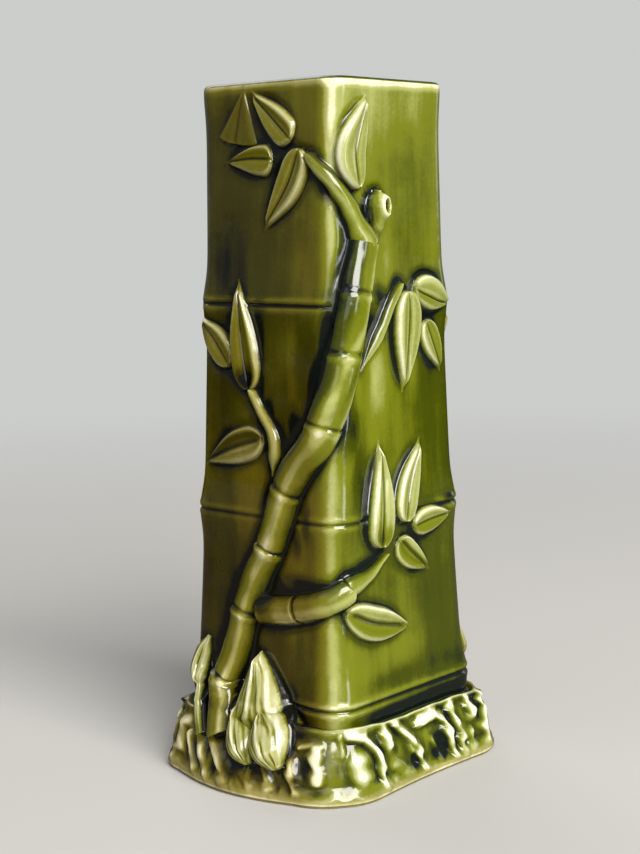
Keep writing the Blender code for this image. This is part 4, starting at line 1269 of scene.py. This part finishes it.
def addBody():
    lip, wall, reach = bodyLook["lip"], bodyLook["wall"], bodyLook["ringReach"]
    top = height - lip
    rows = list(np.arange(bodyLook["bottom"], top, bodyLook["rowStep"]))
    for ring in ringHeights:
        rows += list(np.arange(ring - reach, ring + reach, bodyLook["ringStep"]))
    rows = sorted(rows)
    kept = [rows[0]]
    for value in rows[1:]:
        if value - kept[-1] > bodyLook["closest"]:
            kept.append(value)
    # height, distance out and how far it is outside, from the foot over the lip to the floor
    profile = [(value, 0.0, 1.0) for value in kept]
    for step in range(1, bodyLook["lipSteps"]):
        angle = math.pi * step / bodyLook["lipSteps"]
        spot = (top + lip * math.sin(angle), wall / 2 * (math.cos(angle) - 1))
        profile.append((*spot, 0.0 if step > 1 else 0.5))
    inside = np.arange(height - bodyLook["insideBelow"], bodyLook["insideUntil"], -bodyLook["insideStep"])
    profile += [(value, -wall, 0.0) for value in inside]
    profile += [(value, -wall - inset, 0.0) for value, inset in bodyLook["floorCurve"]]
    place = np.arange(bodyLook["columns"]) / bodyLook["columns"] * 4 - 1
    z, out, outer = (np.array(values)[:, None] + 0.0 * place for values in zip(*profile))
    place = place + 0.0 * z
    shift = sampleMap(wallShift, place, z) * (outer == 1) * (1 - smooth(top - 0.004, top, z))
    # inside and over the lip's crest the glaze darkens towards the top: partly dark glaze, partly painted
    # shade on the crest
    inner = 0.15 + 0.42 * smooth(height - 0.004, height - 0.001, z)
    flags = {
        "poolAndShade": np.where(outer == 0, inner, sampleMap(poolAndShadeMap, place, z) * (outer == 1)),
        "ridge": np.where(outer > 0, sampleMap(ridgeAndHighlightMap, place, z), 0.0),
        "amber": sampleMap(amberAndReflectionMap, place, z) * (0.4 + 0.6 * outer),
    }
    mesh = flatMesh("body_flat", placeToAround(place, z), z, out + shift, flags, closed=True)
    addPiece("body_shell", "body_glaze", mesh)


addBody()
print("body made")


# Plinth: rocks and roots, ledge, foot band and foot ring
# roots and rocks: path of (place, height in mm), half width in mm, height in mm
roots = (
    (((-0.905, 18.0), (-0.912, 11.0), (-0.92, 4.5)), 2.8, 1.9),
    (((-0.965, 15.0), (-0.985, 6.0)), 2.2, 1.4),
    (((-0.845, 15.0), (-0.815, 9.5), (-0.76, 4.5)), 1.7, 1.9),
    (((-0.765, 16.0), (-0.71, 10.0), (-0.64, 4.0)), 1.8, 2.0),
    (((-0.655, 17.0), (-0.59, 11.5), (-0.52, 4.0)), 2.1, 2.3),
    (((-0.56, 12.0), (-0.5, 9.0)), 1.5, 1.0),
    (((-0.405, 8.0), (-0.35, 4.5)), 1.9, 1.3),
    (((-0.44, 6.5), (-0.455, 4.0)), 1.6, 1.0),
    (((-0.285, 11.5), (-0.258, 4.5)), 1.9, 1.9),
    (((-0.16, 14.5), (-0.118, 5.0)), 2.0, 2.0),
    (((-0.118, 20.0), (-0.085, 21.5)), 1.2, 1.3),
    (((-0.066, 20.0), (-0.062, 9.0)), 2.0, 2.4),
    (((-0.026, 18.0), (-0.018, 7.0)), 5.0, 1.1),
    (((0.002, 23.5), (0.008, 17.5)), 1.3, 1.4),
    (((0.05, 14.5), (0.06, 8.5)), 4.2, 2.4),
    (((0.03, 24.0), (0.085, 22.5), (0.14, 17.0), (0.168, 10.0), (0.172, 3.5)), 1.9, 2.4),
    (((0.22, 22.0), (0.25, 17.0)), 2.3, 2.2),
    (((0.32, 23.0), (0.382, 17.5), (0.44, 11.5), (0.478, 4.0)), 2.0, 2.3),
    (((0.262, 9.0), (0.33, 6.0)), 2.0, 1.0),
    (((0.5, 21.0), (0.59, 22.0), (0.655, 18.5), (0.692, 11.5), (0.704, 4.0)), 2.1, 2.6),
    (((0.565, 12.0), (0.58, 6.0)), 1.6, 0.8),
    (((0.735, 22.0), (0.765, 15.0), (0.782, 8.0), (0.779, 3.0)), 1.8, 2.0),
    (((0.868, 21.5), (0.884, 17.5)), 2.5, 2.8),
    (((0.85, 10.0), (0.845, 4.0)), 1.6, 1.3),
    (((0.965, 24.0), (0.955, 14.0), (0.942, 5.0)), 2.6, 2.6),
)
pebbles = {"count": 90, "seed": 11, "size": 0.0005}
hollowing = {"right": 0.001, "left": 0.0006}
# deep glaze between the roots: place, height, reach round and up in mm, strength
plinthSpots = (
    (0.612, 8.5, 5.0, 6.0, 1.8), (0.42, 8.5, 2.4, 4.5, 1.4), (-0.135, 11.0, 2.8, 9.0, 1.0),
    (0.29, 14.5, 2.0, 2.5, 0.7), (0.17, 23.0, 3.0, 1.2, 0.6), (0.445, 22.8, 2.5, 1.2, 0.6),
    (0.12, 14.0, 1.6, 2.6, 0.8), (-0.062, 6.0, 1.8, 1.6, 0.6),
    (-0.065, 4.5, 1.5, 2.2, 0.7), (0.0, 13.0, 1.2, 3.0, 0.6), (-0.2, 6.0, 1.6, 3.5, 0.6),
    (0.035, 21.0, 1.6, 1.2, 0.7), (0.4, 19.0, 1.5, 2.5, 0.4), (0.74, 8.0, 1.3, 4.0, 0.5),
    (0.83, 17.0, 1.2, 3.0, 0.4), (-0.32, 8.0, 1.4, 3.0, 0.5), (-0.42, 10.0, 2.0, 4.0, 0.5),
)
lumpRows = 200    # rows of the map that the plinth takes up
# the ledge: its waves, and how far it sinks on the right face, at its far end and on the front face
plinthLook = {
    "wave": 0.0002,
    "smallWave": 0.0001,
    "sinkRight": 0.0021,
    "sinkFar": 0.0009,
    "sinkFront": 0.003,
    "dent": 0.00035,
    "poolWide": 0.85,
    "poolFine": 0.22,
    "paleLip": 0.68,
}
# height and how far in from the edge, from the foot ring to the foot band
footProfile = (
    (0.0012, 0.0096), (0.0003, 0.0093), (0.0, 0.0088), (0.0, 0.004), (0.0, 0.0014), (0.0003, 0.0006),
    (0.0008, 0.0002),
)
# height over the top, share of the ledge's width, distance out and kind, from the edge to the wall
ledgeProfile = (
    (0.0001, 1.0, -0.0003, 2), (0.0003, 1.0, -0.001, 2), (-0.0001, 0.66, 0.0, 2), (-0.0009, 0.45, 0.0, 2),
    (-0.0012, 0.28, 0.0, 2), (-0.001, 0.12, 0.0, 2), (-0.0006, 0.0, 0.0003, 2), (-0.0006, 0.0, -0.001, 3),
    (-0.022, 0.0, -0.0012, 3),
)


def lumpOut(place, z):
    front, right = (float(length.flat[0]) * 1000 for length in faceLengths(np.full_like(z, 0.012)))
    period = front + right
    aside = wrap(place)
    zmm = z * 1000
    crooked = 0.6 * np.sin(zmm * 0.55 + aside * 22) + 0.35 * np.sin(zmm * 1.2 + aside * 63)
    x = aside * np.where(aside < 0, front, right) + crooked * (1 - 0.8 * bell(aside - 0.01, 0.12))
    lower = smooth(2.5, 11.0, zmm)
    # the plinth stands out from the wall, so it is longer round its corners than the wall is
    longer = 1 + 0.85 * bell((aside + 0.5) % 1 - 0.5, 0.11)
    total = np.zeros_like(x)
    for number, (path, halfWidth, tall) in enumerate(roots):
        spots = [(p * (front if p < 0 else right), h) for p, h in path]
        middle = spots[len(spots) // 2][0]
        near = (x - middle + period / 2) % period - period / 2 + middle
        distance = np.full_like(x, 1e3)
        for (x0, z0), (x1, z1) in zip(spots, spots[1:]):
            runX, runZ = x1 - x0, z1 - z0
            t = clip01(((near - x0) * runX + (zmm - z0) * runZ) / (runX ** 2 + runZ ** 2))
            distance = np.minimum(distance, np.hypot((near - x0 - t * runX) * longer, zmm - z0 - t * runZ))
        knuckle = 1 + (0.11 - 0.1 * bell(aside, 0.1)) * np.sin(zmm * 0.75 + number * 1.9)
        spread = halfWidth * (0.9 + 0.25 * lower)
        bump = 0.9 * tall / 1000 * knuckle * (0.4 + 0.6 * lower) * np.exp(-(distance / spread) ** 2.4)
        total = np.maximum(total, bump) + 0.25 * np.minimum(total, bump)
    rng = np.random.default_rng(pebbles["seed"])
    for number in range(pebbles["count"]):
        middle, spotZ = rng.uniform(-1, 1), rng.uniform(5, 24)
        reachA, reachZ, size = rng.uniform(1.0, 2.2), rng.uniform(1.5, 4.0), rng.uniform(-0.8, 1.0)
        size = size * pebbles["size"] * (0.3 if -0.15 < middle < 0.2 else 1.0)
        total = total + size * bell(wrap(aside - middle) * plinthMm, reachA) * bell(zmm - spotZ, reachZ)
    # the foot band is a little uneven
    wave = np.sin(x * 1.1 + 2 * np.sin(x * 0.37)) * np.sin(zmm * 0.9 + 0.4)
    total = total + 0.00022 * wave * smooth(1.2, 2.5, zmm) * smooth(8.0, 5.0, zmm)
    depth = hollowing["left"] + (hollowing["right"] - hollowing["left"]) * smooth(-0.12, 0.02, aside)
    return total - depth * smooth(4.0, 7.5, zmm) * (1 - smooth(22.0, 25.4, zmm))


def addPlinth():
    lumps = lumpOut(*np.broadcast_arrays(columnPlace, rowZ[:lumpRows])) * 1000
    lumps = np.vstack([lumps, np.zeros((mapSizes["rows"] - lumpRows, mapSizes["columns"]))])
    lumpsWide, lumpsFine = blur(lumps, 2.2), blur(lumps, 0.7)
    top, steps = plinthSizes["top"], plinthSizes["steps"]
    place = np.arange(steps) / steps * 4 - 1
    reach = plinthReach(place)
    edge = plinthOut(place, np.full(steps, top))
    # kind: 0 foot ring, 1 side, 2 ledge, 3 under the wall
    rows = [(level, reach - inset, 0) for level, inset in footProfile]
    for level in np.arange(0.0014, top - 0.0002, 0.0005):
        rows.append((level, plinthOut(place, np.full(steps, level)), 1))
    rows += [(top + rise, edge * share + add, kind) for rise, share, add, kind in ledgeProfile]
    z, out, kind = (np.array([value + 0.0 * place for value in values]) for values in zip(*rows))
    where = place + 0.0 * z
    side, ledge = kind == 1, kind == 2
    aside = wrap(where)
    bulge = lumpOut(where, z) * side
    waves = plinthLook["wave"] * np.sin(where * 9.0) * np.sin(where * 17 + 1)
    waves = waves + plinthLook["smallWave"] * np.sin(where * 43)
    sink = plinthLook["sinkRight"] * smooth(0.04, 0.35, aside)
    sink = sink + plinthLook["sinkFar"] * smooth(0.8, 1.0, aside)
    sink = sink + plinthLook["sinkFront"] * smooth(-0.5, -0.86, aside)
    hollow = sampleMap(lumpsWide, where, z) - sampleMap(lumps, where, z)
    dent = -plinthLook["dent"] * smooth(0.0, 1.0, hollow) * side
    out = out + bulge + dent
    z = z + (waves - sink) * np.where(ledge, 1.0, smooth(top - 0.012, top, z) * side)

    wide, fine, raw = (sampleMap(values, where, z) for values in (lumpsWide, lumpsFine, lumps))
    poolAndShade = plinthLook["poolWide"] * clip01((wide - raw - 0.05) / 0.8)
    poolAndShade = poolAndShade + plinthLook["poolFine"] * clip01((fine - raw) / 0.4)
    for spotPlace, spotZ, reachA, reachZ, strength in plinthSpots:
        spot = strength * bell(wrap(aside - spotPlace) * plinthMm, reachA) * bell(z * 1000 - spotZ, reachZ)
        poolAndShade = np.maximum(poolAndShade, spot * smooth(0.9, 0.0, raw - wide))
    band = smooth(0.005, 0.0025, z)
    fromWall = out / np.maximum(edge, 0.001)
    channel = 0.5 + 0.4 * smooth(0.01, 0.1, aside) + 0.35 * bell(aside + 0.13, 0.08)
    poolAndShade = poolAndShade * side * (1 - band) + channel * ledge * smooth(0.75, 0.35, fromWall)
    lip = ledge * smooth(0.72, 0.88, fromWall) + side * smooth(top - 0.0014, top - 0.0002, z)
    # beside the shoots the pale lip fades and the plinth is painted darker: painted shadow of the shoots
    lip = lip * (1 - 0.9 * bell(aside + 0.15, 0.13))
    shadowBesideShoots = 0.9 * bell(aside + 0.15, 0.085) * smooth(0.02, 0.023, z) * (kind < 3)
    poolAndShade = np.maximum(poolAndShade * (1 - 0.6 * bell(aside - 0.002, 0.03)), shadowBesideShoots)
    nearRelief = clip01(sampleMap(poolWide + 0.5 * poolFine, where, np.maximum(z, 0.012)))
    poolAndShade = np.maximum(poolAndShade, nearRelief * smooth(0.004, 0.012, z)) * (1 - 0.9 * lip)
    ridge = clip01((raw - wide) / 0.85) * side * (1 - 0.8 * band) + 0.35 * side * band
    flags = {
        "poolAndShade": clip01(poolAndShade),
        "ridge": clip01(ridge + plinthLook["paleLip"] * lip + 0.5 * side * smooth(0.0024, 0.0013, z)),
        "amber": np.maximum(sampleMap(amberAndReflectionMap, where, z) * 0.9, 0.55 * band),
        "clay": (z < 0.0007) & (kind == 0),
    }
    mesh = flatMesh("plinth_flat", placeToAround(where, z), z, out, flags, closed=True)
    addPiece("plinth", "plinth_glaze", mesh)


addPlinth()
print("plinth made")


# Floor, backdrop, lights and camera
backdropColour = (0.6, 0.61, 0.6, 1)
floorLook = {
    "colour": (0.5, 0.49, 0.47, 1),
    "inGlaze": (0.1, 0.09, 0.075, 1),    # how dark the floor looks as a reflection in the glaze
    "rough": 0.6,
    "fadeFrom": 0.3,
    "fadeTo": 1.15,
    "half": 8.0,
}


# The floor turns into the plain backdrop colour further out, so no edge shows
def floorPaint():
    material = bpy.data.materials.new("floor_paint")
    material.use_nodes = True
    tree = material.node_tree
    black = (0.0, 0.0, 0.0, 1)
    where = addNode(tree, "ShaderNodeTexCoord").outputs["Object"]
    far = addNode(tree, "ShaderNodeVectorMath", {0: where}, operation="LENGTH").outputs["Value"]
    fade = nodeBetween(tree, far, floorLook["fadeFrom"], floorLook["fadeTo"])
    path = addNode(tree, "ShaderNodeLightPath").outputs
    seenFade = nodeMath(tree, "MULTIPLY", fade, path["Is Camera Ray"])
    near = nodeBlend(tree, path["Is Glossy Ray"], floorLook["colour"], floorLook["inGlaze"])
    setInputs(tree, tree.nodes["Principled BSDF"], {
        "Roughness": floorLook["rough"],
        "Specular IOR Level": 0.0,
        "Emission Strength": 1.0,
        "Base Color": nodeBlend(tree, fade, near, black),
        "Emission Color": nodeBlend(tree, seenFade, black, backdropColour),
    })
    return material


def addFloor():
    half = floorLook["half"]
    mesh = bpy.data.meshes.new("floor")
    corners = [(-half, -half, 0), (half, -half, 0), (half, half, 0), (-half, half, 0)]
    mesh.from_pydata(corners, [], [(0, 1, 2, 3)])
    mesh.materials.append(floorPaint())
    floor = bpy.data.objects.new("floor", mesh)
    bpy.context.scene.collection.objects.link(floor)


worldLook = {"Color": (0.85, 0.88, 0.92, 1), "Strength": 0.16}


def addWorld():
    world = bpy.data.worlds.new("studio")
    bpy.context.scene.world = world
    world.use_nodes = True
    tree = world.node_tree
    light = tree.nodes["Background"]
    setInputs(tree, light, worldLook)
    seen = addNode(tree, "ShaderNodeBackground", {"Color": backdropColour, "Strength": 1.0}).outputs[0]
    isSeen = addNode(tree, "ShaderNodeLightPath").outputs["Is Camera Ray"]
    mix = addNode(tree, "ShaderNodeMixShader", {0: isSeen, 1: light.outputs[0], 2: seen})
    setInputs(tree, tree.nodes["World Output"], {"Surface": mix.outputs[0]})


# azimuth and height in degrees, distance, size, power and colour of each soft lamp
lamps = {
    "window": (70.0, 34.0, 3.0, (2.0, 1.9), 165.0, (1.0, 0.985, 0.95)),
    "pane": (90.0, 5.0, 3.0, (0.55, 1.2), 12.0, (1.0, 1.0, 1.0)),
    "farWindow": (165.0, 14.0, 3.0, (0.8, 1.3), 3.5, (1.0, 1.0, 1.0)),
    "room": (36.0, 12.0, 3.0, (1.4, 1.4), 9.0, (1.0, 1.0, 1.0)),
    "fill": (-10.0, 52.0, 3.0, (2.0, 2.0), 8.0, (0.98, 0.98, 1.0)),
    "back": (245.0, 45.0, 3.0, (2.0, 2.0), 26.0, (1.0, 0.99, 0.97)),
}


def addLamps():
    target = Vector((0, 0, 0.12))
    for name, (azimuth, elevation, distance, size, power, colour) in lamps.items():
        a, e = math.radians(azimuth), math.radians(elevation)
        data = bpy.data.lights.new(name, "AREA")
        data.shape = "RECTANGLE"
        data.size, data.size_y = size
        data.energy = power
        data.color = colour
        lamp = bpy.data.objects.new(name, data)
        away = Vector((math.sin(a) * math.cos(e), -math.cos(a) * math.cos(e), math.sin(e)))
        lamp.location = target + away * distance
        lamp.rotation_euler = away.to_track_quat("Z", "Y").to_euler()
        bpy.context.scene.collection.objects.link(lamp)


# fitted to the photo's corners, rings and outline
cameraFit = {
    "azimuth": 41.229,
    "distance": 0.6118,
    "height": 0.208,
    "down": 7.56,
    "roll": -1.001,
    "yaw": 0.267,
    "focalPixels": 1630.0,
    "imageHeight": 854.0,
}


def addCamera():
    a = math.radians(cameraFit["azimuth"])
    head = math.radians(cameraFit["azimuth"] + cameraFit["yaw"])
    tilt = math.radians(cameraFit["down"])
    roll = math.radians(cameraFit["roll"])
    ahead = Vector((-math.sin(head), math.cos(head), 0))
    right = Vector((math.cos(head), math.sin(head), 0))
    up = Vector((0, 0, 1))
    look = ahead * math.cos(tilt) - up * math.sin(tilt)
    upTilted = up * math.cos(tilt) + ahead * math.sin(tilt)
    side = right * math.cos(roll) + upTilted * math.sin(roll)
    upper = upTilted * math.cos(roll) - right * math.sin(roll)
    data = bpy.data.cameras.new("camera")
    data.sensor_width = 36.0
    data.lens = cameraFit["focalPixels"] / cameraFit["imageHeight"] * 36.0
    data.clip_start = 0.01
    data.clip_end = 20.0
    camera = bpy.data.objects.new("camera", data)
    bpy.context.scene.collection.objects.link(camera)
    turned = Matrix((side, upper, -look)).transposed().to_4x4()
    spot = Vector((math.sin(a), -math.cos(a), 0)) * cameraFit["distance"] + up * cameraFit["height"]
    camera.matrix_world = Matrix.Translation(spot) @ turned
    bpy.context.scene.camera = camera


addFloor()
addWorld()
addLamps()
addCamera()
bpy.context.scene.view_settings.view_transform = "Standard"
print("stage set")
